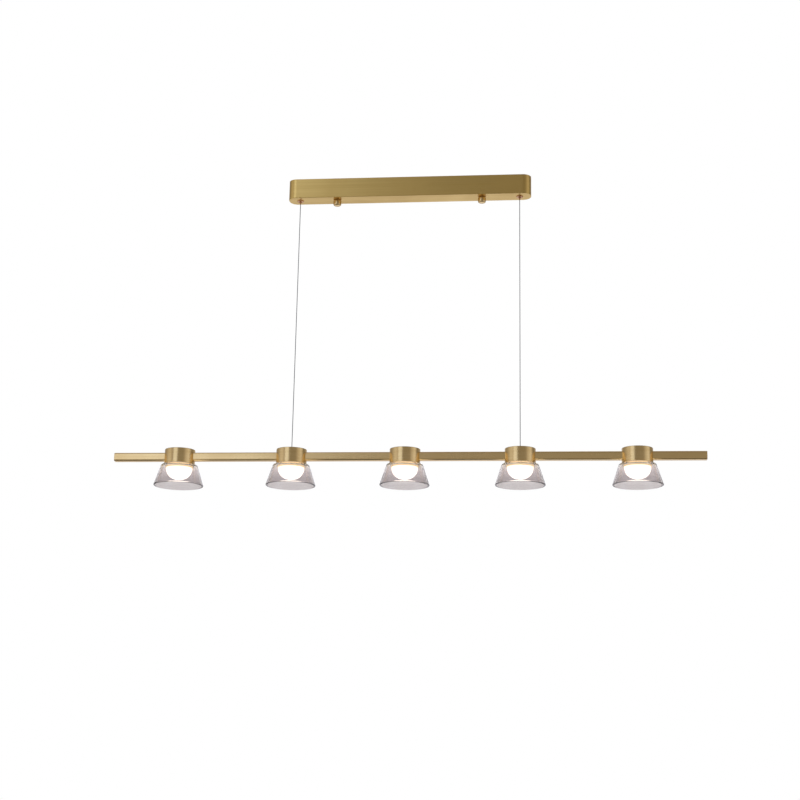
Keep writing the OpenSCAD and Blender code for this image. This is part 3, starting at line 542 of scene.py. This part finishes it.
glassLook = {"tint": (0.77, 0.72, 0.725), "deeper": (0.73, 0.68, 0.69), "topTint": (1.0, 0.96, 0.91),
             "rimTint": (0.60, 0.56, 0.565), "rimBelow": barZ - 0.050, "tintedAbove": barZ - 0.032,
             "tintedBelow": barZ - 0.027, "clearAbove": barZ - 0.0185, "ior": 1.46, "clear": 0.92,
             "roughness": 0.0, "spread": 0.015, "blotches": 14}
lensLook = {"light": (0.92, 0.90, 0.86), "dark": (0.84, 0.82, 0.77), "cool": (1, 0.93, 0.82),
            "warm": (1, 0.74, 0.44), "coolBelow": barZ - 0.030, "warmAbove": barZ - 0.0205, "strength": 2.2,
            "grains": 1200, "bump": 0.1, "roughness": 0.4, "spread": 0.15}

metals = {name: brushedMetal(name, m) for name, m in brushed.items()}
stuffs = {name: plainStuff(name, m) for name, m in plain.items()}
smokeGlass = tintedGlass("smokeGlass", glassLook)
frostedLens = litDiffuser("frostedLens", lensLook)
print("materials made")


# Suspension wires: stranded steel rope, straight down from each grip to the ferrule on its lower end

rope = {"lay": 9 * mm, "strands": 6, "depth": 0.16, "around": 24, "perTurn": 12, "routePoints": 15}
ferrule = {"stem": 1.1 * mm, "neckGap": 0.3 * mm, "crimps": 3, "crimpPitch": 1.7 * mm,
           "crimpDepth": 0.12 * mm, "crimpFromTop": 1.2 * mm, "ballSteps": 16, "stemSteps": 60}


# Strands laid round a straight line: the lobed section turns by 2 pi for each lay of length
def strandedRope(name, x, z0, z1, diameter):
    count = int(abs(z1 - z0) / rope["lay"] * rope["perTurn"]) + 2
    z = np.linspace(z0, z1, count)
    line = np.stack([0 * z + x, 0 * z, z], 1)
    lobes = section(diameter / 2, rope["around"], rope["strands"], rope["depth"])
    return swept(name, line, lobes, 2 * np.pi * (z - z0) / rope["lay"])


# Ball and crimped stem: r is the ball's sqrt(R^2 - z^2) below, then the stem with shallow pressed rings
def makeFerrule(name, node, x):
    bottom, top = heightsOf(node)
    ballR = radiusOf(node)
    a = np.linspace(-np.pi / 2, math.acos(ferrule["stem"] / ballR), ferrule["ballSteps"])
    ball = np.stack([ballR * np.cos(a), bottom + ballR + ballR * np.sin(a)], 1)
    z = np.linspace(ball[-1, 1] + ferrule["neckGap"], top - edge["soft"], ferrule["stemSteps"])
    fromTop = (top - ferrule["crimpFromTop"] - z) / ferrule["crimpPitch"]
    inCrimps = (fromTop > 0) & (fromTop < ferrule["crimps"])
    r = ferrule["stem"] - ferrule["crimpDepth"] * inCrimps * np.sin(np.pi * fromTop) ** 2
    tip = np.array([[ferrule["stem"] - edge["soft"], top], [pole, top]])
    ball[0, 0] = pole
    return turned(name, np.vstack([ball, np.stack([r, z], 1), tip]), x, around=32)


for side in sides:
    node = "suspension_wire_" + side
    bottom, top = low(node), high(node)
    diameter = top.x - bottom.x
    wire = strandedRope("wire_" + side, wireX[side], top.z, bottom.z, diameter)
    dress(wire, metals["drawnSteel"], replaced=[node])
    crimped = makeFerrule("ferrule_" + side, "wire_ferrule_" + side, wireX[side])
    dress(crimped, metals["turnedGold"], "hanger_" + side, ["wire_ferrule_" + side])
    route = np.linspace((wireX[side], 0, top.z), (wireX[side], 0, bottom.z), rope["routePoints"])
    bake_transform(wire)
print("wires made")


# Canopy cover: a shallow tray with round upright corners, drilled for the grips and the studs

cover = {"corner": 17.5 * mm, "edge": 0.9 * mm, "wall": 1.2 * mm, "insideEdge": 0.4 * mm, "flat": 3 * mm,
         "gripHole": 5.5 * mm, "studHole": 2.3 * mm, "boss": 3 * mm, "bossHeight": 3 * mm}
over = 1 * mm  # how far a cutter stands proud of what it cuts
coverLow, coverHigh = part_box("canopy_cover")
floorZ = coverLow.z + cover["wall"]
profile = roundedPath([
    (cover["flat"], coverLow.z, 0), (0, coverLow.z, cover["edge"]), (0, coverHigh.z, edge["eased"]),
    (cover["wall"], coverHigh.z, edge["eased"]), (cover["wall"], floorZ, cover["insideEdge"]),
    (cover["wall"] + cover["flat"], floorZ, 0),
])
tray = boxed("canopyCover", coverHigh.x - coverLow.x, coverHigh.y - coverLow.y, cover["corner"], profile)


# Upright cutter (x + r cos a, r sin a) from z0 to z1
def drill(x, r, z0, z1):
    return turned("drill", np.array([[r, z0], [r, z1]]), x, around=48)


places = [(wireX[s], cover["gripHole"]) for s in sides] + [(studX[s], cover["studHole"]) for s in sides]
cut(tray, [drill(x, r, coverLow.z - over, floorZ + over) for x, r in places])
dress(tray, metals["sheetGold"], "canopy", ["canopy_cover"])

driverLow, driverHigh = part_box("driver_case")
bosses = [driverLow.x + cover["boss"], driverHigh.x - cover["boss"], middle("terminal_block").x]
root, top = floorZ - cover["wall"] / 2, floorZ + cover["bossHeight"]
for k, x in enumerate(bosses, 1):
    boss = turned(f"coverBoss_{k}", roundedPath([
        (pole, root, 0), (cover["boss"], root, 0), (cover["boss"], top, edge["eased"]), (pole, top, 0),
    ]), x, around=40)
    dress(boss, metals["sheetGold"], "canopy")
print("canopy cover made")


# Studs and thumb nuts

stud = {"pitch": 0.7 * mm, "depth": 0.32 * mm, "radius": 2 * mm, "head": 3.8 * mm, "seat": -1.5 * mm,
        "headEdge": -0.1 * mm}
thumb = {"neck": 6 * mm, "neckHeight": 1.4 * mm, "bore": 2.05 * mm, "boreDepth": 8.4 * mm, "dome": 3 * mm,
         "crown": 0.6 * mm}
for side in sides:
    screw = threaded("stud_" + side, studX[side], low("bracket_studs").z, stud["seat"], stud["radius"],
                     stud["pitch"], stud["depth"])
    dress(screw, stuffs["zincPlate"], "canopy", ["bracket_studs"])
    head = turned("studHead_" + side, np.array([
        [pole, stud["seat"]], [stud["radius"], stud["seat"]], [stud["head"], stud["headEdge"]],
        [stud["head"], 0], [pole, 0],
    ]), studX[side], around=40)
    dress(head, stuffs["zincPlate"], "canopy")

    node = "thumb_nut_" + side
    bottom, top = heightsOf(node)
    radius, shoulder, boreEnd = radiusOf(node), top - thumb["neckHeight"], top - thumb["boreDepth"]
    nut = turned("thumbNut_" + side, roundedPath([
        (pole, boreEnd, 0), (thumb["bore"], boreEnd, 0), (thumb["bore"], top, edge["broken"]),
        (thumb["neck"], top, edge["soft"]), (thumb["neck"], shoulder, edge["eased"]),
        (radius, shoulder, edge["soft"]), (radius, bottom + thumb["crown"], thumb["dome"]), (pole, bottom, 0),
    ]), studX[side], around=72)
    dress(nut, metals["turnedGold"], node, [node])


# Wire grips: flange and threaded barrel, swivel ball and stem, release plunger with its spring, wire tail

grip = {"flange": 7 * mm, "flangeEdge": 0.6 * mm, "barrel": 5.5 * mm, "socket": 4.25 * mm, "ball": 4.2 * mm,
        "rise": 3.8 * mm, "lip": 3.24 * mm, "throatDrop": 3 * mm, "pitch": 1 * mm, "threadDepth": 0.5 * mm,
        "stem": 2 * mm, "stemEdge": 1.5 * mm, "stemBore": 1.35 * mm, "wireBore": 0.85 * mm,
        "chamber": 2.25 * mm, "chamberDrop": 2 * mm, "plunger": 1.3 * mm, "collar": 2.15 * mm,
        "collarHeight": 0.8 * mm, "socketSteps": 14, "ballSteps": 40}
spring = {"turns": 3, "wire": 0.15 * mm, "around": 10, "perTurn": 28, "clear": 0.05 * mm}
tail = {"inSleeve": 1 * mm, "sleeve": 1.5 * mm, "sleeveHeight": 6 * mm, "waist": 0.87,
        "waistFrom": 0.6, "waistTo": 0.4, "slopeFrom": 0.7, "slopeTo": 0.3}  # shares of its radius and height
flangeZ, barrelTop = heightsOf("grip_barrels")
ballZ = flangeZ + grip["rise"]
chamberFloor = ballZ - grip["chamberDrop"]
tailTop = high("wire_tails").z


# Arc (r cos a, z + r sin a) about a ball's middle, from a0 to a1 degrees
def ballArc(r, a0, a1, count, z=ballZ):
    a = np.radians(np.linspace(a0, a1, count))
    return np.stack([r * np.cos(a), z + r * np.sin(a)], 1)


for side in sides:
    x = wireX[side]
    socketFrom = -math.degrees(math.asin((ballZ - coverLow.z) / grip["socket"]))
    socketTo = -math.degrees(math.asin(grip["throatDrop"] / grip["socket"]))
    flange = turned("gripFlange_" + side, np.vstack([
        roundedPath([(grip["lip"], flangeZ, 0), (grip["flange"], flangeZ, grip["flangeEdge"]),
                     (grip["flange"], coverLow.z, edge["deburred"]), (grip["barrel"], coverLow.z, 0)]),
        ballArc(grip["socket"], socketFrom, socketTo, grip["socketSteps"]),
    ]), x, closed=True)
    dress(flange, metals["warmBrass"], "canopy", ["grip_barrels"])
    barrel = threaded("gripThread_" + side, x, coverLow.z, barrelTop, grip["barrel"], grip["pitch"],
                      grip["threadDepth"], around=48, bore=grip["socket"])
    dress(barrel, metals["warmBrass"], "canopy")

    stemZ = low("grip_swivels").z
    chamberTop = high("plunger_spring_" + side).z + spring["clear"]
    swivel = turned("gripSwivel_" + side, np.vstack([
        ballArc(grip["ball"], math.degrees(math.acos(grip["wireBore"] / grip["ball"])),
                -math.degrees(math.acos(grip["stem"] / grip["ball"])), grip["ballSteps"]),
        roundedPath([(grip["stem"], stemZ + grip["stemEdge"], 0), (grip["stem"], stemZ, edge["soft"]),
                     (grip["stemBore"], stemZ, 0)]),
        [(grip["stemBore"], chamberFloor), (grip["chamber"], chamberFloor), (grip["chamber"], chamberTop),
         (grip["wireBore"], chamberTop)],
    ]), x, closed=True)
    dress(swivel, metals["warmBrass"], "grips", ["grip_swivels"])

    node = "plunger_" + side
    mouth, plungerTop = heightsOf(node)
    collarZ = chamberFloor + spring["clear"]
    collarTop = collarZ + grip["collarHeight"]
    plunger = turned("plunger_" + side, roundedPath([
        (grip["wireBore"], mouth, edge["broken"]), (grip["plunger"], mouth, edge["soft"]),
        (grip["plunger"], collarZ, 0), (grip["collar"], collarZ, edge["deburred"]),
        (grip["collar"], collarTop, edge["deburred"]), (grip["plunger"], collarTop, 0),
        (grip["plunger"], plungerTop, edge["deburred"]), (grip["wireBore"], plungerTop, 0),
    ], closed=True, hold=held["least"]), x, around=40, closed=True)
    dress(plunger, metals["warmBrass"], "release_" + side, [node])

    # The coil's line is (c cos a, c sin a, z) with z rising evenly, and its round wire is carried along it
    node = "plunger_spring_" + side
    coilLow, coilHigh = low(node).z + spring["wire"], high(node).z - spring["wire"]
    coilR = (grip["chamber"] + grip["plunger"]) / 2 + spring["clear"]
    a = np.linspace(0, 2 * np.pi * spring["turns"], spring["perTurn"] * spring["turns"])
    line = np.stack([x + coilR * np.cos(a), coilR * np.sin(a), np.linspace(coilLow, coilHigh, len(a))], 1)
    coil = swept("plungerSpring_" + side, line, section(spring["wire"], spring["around"]))
    dress(coil, metals["springSteel"], replaced=[node])
    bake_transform(coil)

    wireTop = high("suspension_wire_" + side)
    wireEnd = strandedRope("wireTail_" + side, x, wireTop.z, tailTop - tail["inSleeve"], 2 * (wireTop.x - x))
    dress(wireEnd, metals["drawnSteel"], "grips", ["wire_tails"])
    full, waist = tail["sleeve"], tail["waist"] * tail["sleeve"]
    outline = [(pole, 1, 0), (full, 1, edge["soft"]), (full, tail["slopeFrom"], 0),
               (waist, tail["waistFrom"], edge["eased"]), (waist, tail["waistTo"], edge["eased"]),
               (full, tail["slopeTo"], 0), (full, 0, edge["soft"]), (pole, 0, 0)]
    sleeve = turned("tailSleeve_" + side, roundedPath([
        (r, tailTop - share * tail["sleeveHeight"], easing) for r, share, easing in outline
    ]), x, around=32)
    dress(sleeve, stuffs["screwBrass"], "grips")
print("studs, thumb nuts and grips made")


# Leads inside the canopy, along the routes of the frame's own, in millimetres

lead = {"radius": 0.9, "around": 14, "entry": 10, "poleHeight": 5, "polePitch": 11, "wall": 1.5, "ear": 9,
        "back": 16.4, "over": -9, "pastStud": 10, "aboveTail": 0.3}
terminalX = middle("terminal_block").x / mm
entryZ = driverLow.z / mm + lead["entry"]
poleZ = driverLow.z / mm + lead["poleHeight"]
driverLeft, driverRight = driverLow.x / mm + lead["ear"], driverHigh.x / mm - lead["ear"]
gripX = wireX["right"] / mm
tailEnd = high("wire_tails").z / mm + lead["aboveTail"]
backY, overZ = lead["back"], lead["over"]
studOut = studX["right"] / mm + lead["pastStud"]


# Brown goes to the terminal's first pole, s = -1, and blue to its middle one, s = 1
def poleRoute(s):
    poleX = terminalX + min(s, 0) * lead["polePitch"]
    return [
        (driverRight - lead["wall"], s * 6, entryZ), (driverRight + 6, s * 6, entryZ),
        (driverRight + 14, s * 6 - 2, entryZ + 3 + s), (poleX - 16, -11 - 1.5 * s, entryZ + 3 + 2 * s),
        (poleX - 6, -14.5, entryZ), (poleX, -15.5, poleZ + 3), (poleX, -13, poleZ), (poleX, -6, poleZ),
    ]


leadRoutes = {
    "Brown": poleRoute(-1),
    "Blue": poleRoute(1),
    "Black": [
        (driverLeft + lead["wall"], -6, entryZ), (driverLeft - 8, -6, entryZ),
        (driverLeft - 24, -8, entryZ - 3), (40 - gripX, -8, -21), (20 - gripX, -4, overZ - 3),
        (8 - gripX, -1, overZ), (2 - gripX, 0, overZ - 2), (-gripX, 0, (overZ + tailEnd) / 2),
        (-gripX, 0, tailEnd),
    ],
    "Red": [
        (driverLeft + lead["wall"], 6, entryZ), (driverLeft - 6, 6, entryZ), (driverLeft - 11, 9, entryZ + 1),
        (driverLeft - 12, backY - 3, entryZ + 2), (driverLeft - 8, backY, entryZ + 2),
        (driverLeft + 10, backY, entryZ), (terminalX, backY, entryZ), (studOut, backY, entryZ),
        (gripX - 40, backY - 4, entryZ), (gripX - 20, 5, overZ - 3), (gripX - 8, 1, overZ),
        (gripX - 2, 0, overZ - 2), (gripX, 0, (overZ + tailEnd) / 2), (gripX, 0, tailEnd),
    ],
}
for tone, route in leadRoutes.items():
    line = smoothRoute(np.array(route) * mm)
    piece = swept("lead" + tone, line, section(lead["radius"] * mm, lead["around"]))
    dress(piece, stuffs["sleeve" + tone], replaced=["canopy_leads"])
    if tone in ("Black", "Red"):  # their ends go to the wire tails, which swing; these leads are not attached to the canopy
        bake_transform(piece)
    else:
        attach(piece, "canopy")
print("leads made")


# Bar: a square tube with round long edges, closed by a plug at each end

tube = {"corner": 3.5 * mm, "wall": 1.5 * mm, "seam": 0.12 * mm, "leadHole": 4 * mm, "plate": 1.6 * mm,
        "bevel": 0.45 * mm, "bevelSteps": 6, "plugDepth": 10 * mm, "plugGap": 0.15 * mm}
tubeLow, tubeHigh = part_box("bar_tube")
tubeW = tubeHigh.z - tubeLow.z


# Rounded square carried along the bar: station (x, width, corner radius)
def alongBar(name, stations, closed=False):
    rings = []
    for x, width, r in stations:
        centres, ways = rectOutline(width, width, r)
        flat = centres + r * ways
        rings.append(np.stack([0 * flat[:, 0] + x, flat[:, 0], barZ + flat[:, 1]], 1))
    return skin(name, np.array(rings), closed)


innerW, innerR = tubeW - 2 * tube["wall"], tube["corner"] - tube["wall"]
seamW, seamR = tubeW - 2 * tube["seam"], tube["corner"] - tube["seam"]  # where tube and plug meet
barTube = alongBar("barTube", [
    (tubeLow.x, seamW, seamR), (tubeLow.x + tube["seam"], tubeW, tube["corner"]),
    (tubeHigh.x - tube["seam"], tubeW, tube["corner"]), (tubeHigh.x, seamW, seamR),
    (tubeHigh.x, innerW, innerR), (tubeLow.x, innerW, innerR),
], closed=True)
holes = [drill(headX[i], tube["leadHole"], barZ - tubeW, barZ) for i in heads]
holes += [drill(wireX[s], tube["leadHole"], barZ, barZ + tubeW) for s in sides]
cut(barTube, holes)
dress(barTube, metals["barGoldPaintedBright"], "bar", ["bar_tube"])

for side, s in sides.items():
    face = s * high("bar_end_plugs").x
    seat = face - s * tube["plate"]
    coreW = innerW - 2 * tube["plugGap"]
    a = np.linspace(0, np.pi / 2, tube["bevelSteps"])
    inward, back = tube["bevel"] * (1 - np.cos(a)), tube["bevel"] * (1 - np.sin(a))
    stations = [(seat - s * tube["plugDepth"], coreW, innerR), (seat, coreW, innerR), (seat, seamW, seamR),
                (seat + s * tube["seam"], tubeW, tube["corner"])]
    stations += [(face - s * b, tubeW - 2 * i, tube["corner"] - i) for i, b in zip(inward, back)]
    dress(alongBar("barPlug_" + side, stations), metals["barGoldPaintedBright"], "bar", ["bar_end_plugs"])
print("bar made")


# Heads: cup, collar, lens and glass shade, with a bush in the tops of the two that hang on the wires

cup = {"wall": 2.5 * mm, "top": 2.5 * mm, "edge": 1 * mm, "lip": 3 * mm, "mouth": 26.05 * mm,
       "passage": 0.15 * mm, "around": 128}
bush = {"neck": 4.5 * mm, "flange": 6.5 * mm, "floor": 5.5 * mm, "proud": 0.4 * mm, "ballDrop": 0.9 * mm,
        "seat": 1.9 * mm, "seatArc": (60, 0, 10), "throat": 1.25 * mm, "slope": math.tan(math.radians(13))}
collar = {"wall": 1.8 * mm, "radius": 26 * mm, "edge": 0.5 * mm, "around": 128}
lens = {"wall": 2.6 * mm, "neck": 24.15 * mm, "fullness": 2.2, "steps": 40, "around": 128}
shade = {"top": 36.6 * mm, "rim": 51 * mm, "wall": 3.6 * mm, "topWall": 4.1 * mm, "shoulder": 6 * mm,
         "bore": 26.3 * mm, "rimShare": 0.45, "around": 160, "steps": 12}


# Superellipse quarter from the equator at z0 down to the pole: (R cos^(2/n) a, z0 - h sin^(2/n) a)
def domeProfile(r, h, z0):
    a = np.linspace(0, np.pi / 2, lens["steps"])
    power = 2 / lens["fullness"]
    profile = np.stack([r * np.cos(a).clip(0) ** power, z0 - h * np.sin(a) ** power], 1)
    profile[-1, 0] = pole
    return profile


for i in heads:
    x = headX[i]
    node = f"head_cup_{i}"
    bottom, top = heightsOf(node)
    outer, ceiling = radiusOf(node), top - cup["top"]
    body = turned(f"cup_{i}", roundedPath([
        (pole, top, 0), (outer, top, cup["edge"]), (outer, bottom, edge["soft"]), (cup["mouth"], bottom, 0),
        (cup["mouth"], bottom + cup["lip"], 0), (outer - cup["wall"], bottom + cup["lip"], 0),
        (outer - cup["wall"], ceiling, 0), (pole, ceiling, 0),
    ], hold=held["short"]), x, around=cup["around"])
    passageW, ends = tubeW + 2 * cup["passage"], (x - 2 * outer, x + 2 * outer)
    cutters = [alongBar("passage", [(end, passageW, tube["corner"]) for end in ends])]
    onWire = [s for s in sides if abs(wireX[s] - x) < mm]
    if onWire:
        cutters.append(drill(x, bush["neck"], ceiling - over, top + over))
    cut(body, cutters)
    dress(body, metals["turnedGold"], "bar", [node])
    for side in onWire:
        ferruleZ = low("wire_ferrule_" + side).z + radiusOf("wire_ferrule_" + side)
        neckTop, flangeLow = top + bush["proud"], ferruleZ - bush["ballDrop"]
        seatArc = ballArc(bush["seat"], *bush["seatArc"], ferruleZ)
        topR, seatR = (bush["throat"] + (z - ferruleZ) * bush["slope"] for z in (neckTop, seatArc[0, 1]))
        holder = turned("wireBush_" + side, np.vstack([
            [(bush["seat"], flangeLow)],
            roundedPath([(bush["floor"], flangeLow, 0), (bush["flange"], flangeLow, edge["eased"]),
                         (bush["flange"], ceiling, 0), (bush["neck"], ceiling, 0),
                         (bush["neck"], neckTop, edge["broken"]), (topR, neckTop, edge["deburred"]),
                         (seatR, seatArc[0, 1], 0)], hold=held["least"]),
            seatArc,
        ]), x, around=48, closed=True)
        dress(holder, stuffs["naturalNylon"], "bar", ["anchor_bushes"])

    node = f"collar_{i}"
    bottom, top = heightsOf(node)
    outer, inner = radiusOf(node), collar["radius"] - collar["wall"]
    seatZ = high(f"glass_shade_{i}").z - shade["topWall"]
    ring = turned(f"collarRing_{i}", roundedPath([
        (inner, top, 0), (collar["radius"], top, 0), (collar["radius"], seatZ, 0),
        (outer, seatZ, edge["soft"]), (outer, bottom, collar["edge"]), (inner, bottom, 0),
    ], closed=True, hold=held["short"]), x, around=collar["around"], closed=True)
    dress(ring, metals["collarGoldPaintedGlow"], "bar", [node])

    node = f"lens_{i}"
    lensLow, lensTop = heightsOf(node)
    inside = lens["neck"] - lens["wall"]
    outerDome = domeProfile(radiusOf(node), bottom - lensLow, bottom)[::-1]
    innerDome = domeProfile(inside, bottom - lensLow - lens["wall"], bottom)
    neck = [(lens["neck"], bottom), (lens["neck"], lensTop), (inside, lensTop)]
    dome = turned(f"lensDome_{i}", np.vstack([outerDome, neck, innerDome]), x, around=lens["around"])
    dress(dome, frostedLens, "bar", [node])

    node = f"glass_shade_{i}"
    rimZ, top = heightsOf(node)
    slope = (shade["rim"] - shade["top"]) / (top - rimZ)
    inward = shade["wall"] * math.sqrt(1 + slope ** 2)
    innerTop = top - shade["topWall"]
    rimR = shade["rimShare"] * shade["wall"]
    cone = turned(f"glassShade_{i}", roundedPath([
        (shade["bore"], top, edge["soft"]), (shade["top"], top, shade["shoulder"]),
        (shade["rim"], rimZ, rimR), (shade["rim"] - inward, rimZ, rimR),
        (shade["top"] + slope * shade["topWall"] - inward, innerTop, shade["shoulder"] / 2),
        (shade["bore"], innerTop, edge["soft"]),
    ], closed=True, steps=shade["steps"], hold=held["least"]), x, around=shade["around"], closed=True)
    dress(cone, smokeGlass, "bar", [node])
print("heads made")


# Finishes of the CAD solids that show as they are

carried = {
    "mounting_bracket": "zincPlate", "stud_lock_nuts": "zincPlate", "grip_nuts": "zincPlate",
    "case_screws": "zincPlate", "board_screws": "zincPlate", "driver_case": "caseWhite",
    "driver_board": "circuitGreen", "terminal_block": "naturalNylon", "terminal_screws": "screwBrass",
    "shade_gaskets": "clearSilicone", "bar_conductors": "sleeveRed",
    **{f"heatsink_{i}": "castAluminium" for i in heads}, **{f"led_board_{i}": "boardMask" for i in heads},
}
for node, finish in carried.items():
    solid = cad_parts[node]
    solid.data.materials.clear()
    solid.data.materials.append(stuffs[finish])
print("carried solids finished")


# Studio: white behind, and in the reflections a plain room that is brighter in some turns and heights than
# in others. Turns are in degrees from the front towards the right, heights in degrees above the horizon

room = {
    "turns": [(-180, 0.76), (-150, 0.56), (-122, 0.32), (-100, 0.48), (-80, 0.70), (-62, 0.77), (-49, 0.52),
              (-39, 0.31), (-14, 0.30), (12, 0.33), (40, 0.34), (64, 0.67), (84, 0.88), (112, 0.24),
              (142, 0.42), (180, 0.76)],
    "heights": [(-90, 0.10), (-74, 0.13), (-52, 0.46), (-28, 1.33), (-13, 0.78), (0, 0.85), (12, 1.0),
                (24, 0.65), (50, 0.58), (72, 0.75), (90, 0.75)],
    "dimTone": (1.0, 0.905, 0.78), "brightTone": (0.96, 1.07, 1.48), "brightAt": 1.5, "behind": 1.0,
}
softBoxes = {
    "keyLeft": {"place": (-2.9, -2.4, -0.35), "tone": (1, 0.98, 0.95), "mirrored": False,
                "size": (1.3, 2.6), "power": 12},
    "fillRight": {"place": (3.0, -1.2, -0.30), "tone": (1, 0.97, 0.93), "mirrored": False,
                  "size": (0.9, 2.4), "power": 6},
    "windowLeft": {"place": (-1.2, -2.05, 0.4), "tone": (0.93, 1.07, 1.5), "mirrored": True,
                   "size": (1.33, 2.8), "power": 8.1},
}
sky = {"place": (0, 0, 3), "tone": (1, 0.995, 0.985), "mirrored": False, "strength": 3.3, "spread": 2.4}
ground = {"drop": 3.2, "size": 120, "tone": (0.92, 0.915, 0.90), "dull": 0.98, "blotches": 0.8,
          "roughness": 0.9}


# Ramp of (degrees, level) pairs over a socket that holds the angle in radians
def angleRamp(tree, angle, levels):
    first, last = levels[0][0], levels[-1][0]
    share = ranged(tree, angle, 0, 1, math.radians(first), math.radians(last))
    ramp = put(tree, "ShaderNodeValToRGB", i0=share)
    ramp.color_ramp.interpolation = "EASE"
    stops = ramp.color_ramp.elements
    while len(stops) < len(levels):
        stops.new(0.5)
    for stop, (turn, level) in zip(stops, levels):
        stop.position = (turn - first) / (last - first)
        stop.color = (level, level, level, 1)
    return ramp.outputs[0]


# The room's level is that of the turn times that of the height, and its tone goes from dim to bright with it.
# The camera, and what the glass lets through, see plain white instead
def makeWorld():
    world = bpy.data.worlds.new("studio")
    bpy.context.scene.world = world
    world.use_nodes = True
    tree = world.node_tree
    path = tree.nodes.new("ShaderNodeLightPath").outputs
    coordinate = tree.nodes.new("ShaderNodeTexCoord").outputs
    way = put(tree, "ShaderNodeSeparateXYZ", Vector=coordinate["Generated"]).outputs
    turn = maths(tree, "ARCTAN2", way[0], maths(tree, "MULTIPLY", way[1], -1))
    height = maths(tree, "ARCSINE", way[2])
    level = maths(tree, "MULTIPLY", angleRamp(tree, turn, room["turns"]),
                  angleRamp(tree, height, room["heights"]))
    seen = maths(tree, "MAXIMUM", path["Is Camera Ray"], path["Is Transmission Ray"])
    tone = mixed(tree, maths(tree, "DIVIDE", level, room["brightAt"]), room["dimTone"], room["brightTone"])
    feed(tree, tree.nodes["Background"], {
        "Color": mixed(tree, seen, tone, (1, 1, 1)),
        "Strength": put(tree, "ShaderNodeMix", i0=seen, i2=level, i3=room["behind"]).outputs[0],
    })


# The lights shape what is matt. The gloss of the metal and glass comes from the room and the window
def hang(name, lamp, b):
    box = bpy.data.objects.new(name, lamp)
    bpy.context.scene.collection.objects.link(box)
    lamp.color, box.location = b["tone"], b["place"]
    box.rotation_euler = (Vector((0, 0, barZ / 2)) - Vector(b["place"])).to_track_quat("-Z", "Y").to_euler()
    box.visible_camera = box.visible_transmission = False
    box.visible_glossy, box.visible_diffuse = b["mirrored"], not b["mirrored"]


def makeLights():
    for name, b in softBoxes.items():
        lamp = bpy.data.lights.new(name, "AREA")
        lamp.shape, (lamp.size, lamp.size_y), lamp.energy = "RECTANGLE", b["size"], b["power"]
        hang(name, lamp, b)
    lamp = bpy.data.lights.new("skylight", "SUN")
    lamp.energy, lamp.angle = sky["strength"], sky["spread"]
    hang("skylight", lamp, sky)


def makeFloor():
    z = cadBounds[0].z - ground["drop"]
    half = ground["size"] / 2
    corners = [(-half, -half, z), (half, -half, z), (half, half, z), (-half, half, z)]
    mesh = bpy.data.meshes.new("floor")
    mesh.from_pydata(corners, [], [(0, 1, 2, 3)])
    floor = bpy.data.objects.new("floor", mesh)
    bpy.context.scene.collection.objects.link(floor)
    material, tree, shader, coordinate = startMaterial("paleFloor")
    dull = dullness(tree, coordinate, ground)
    dulled = tuple(ground["dull"] * c for c in ground["tone"])
    feed(tree, shader, {"Base Color": mixed(tree, dull, ground["tone"], dulled),
                        "Roughness": ground["roughness"]})
    mesh.materials.append(material)
    floor.visible_glossy = False


makeWorld()
makeLights()
makeFloor()
bpy.context.scene.view_settings.view_transform = "Standard"
print("studio made")
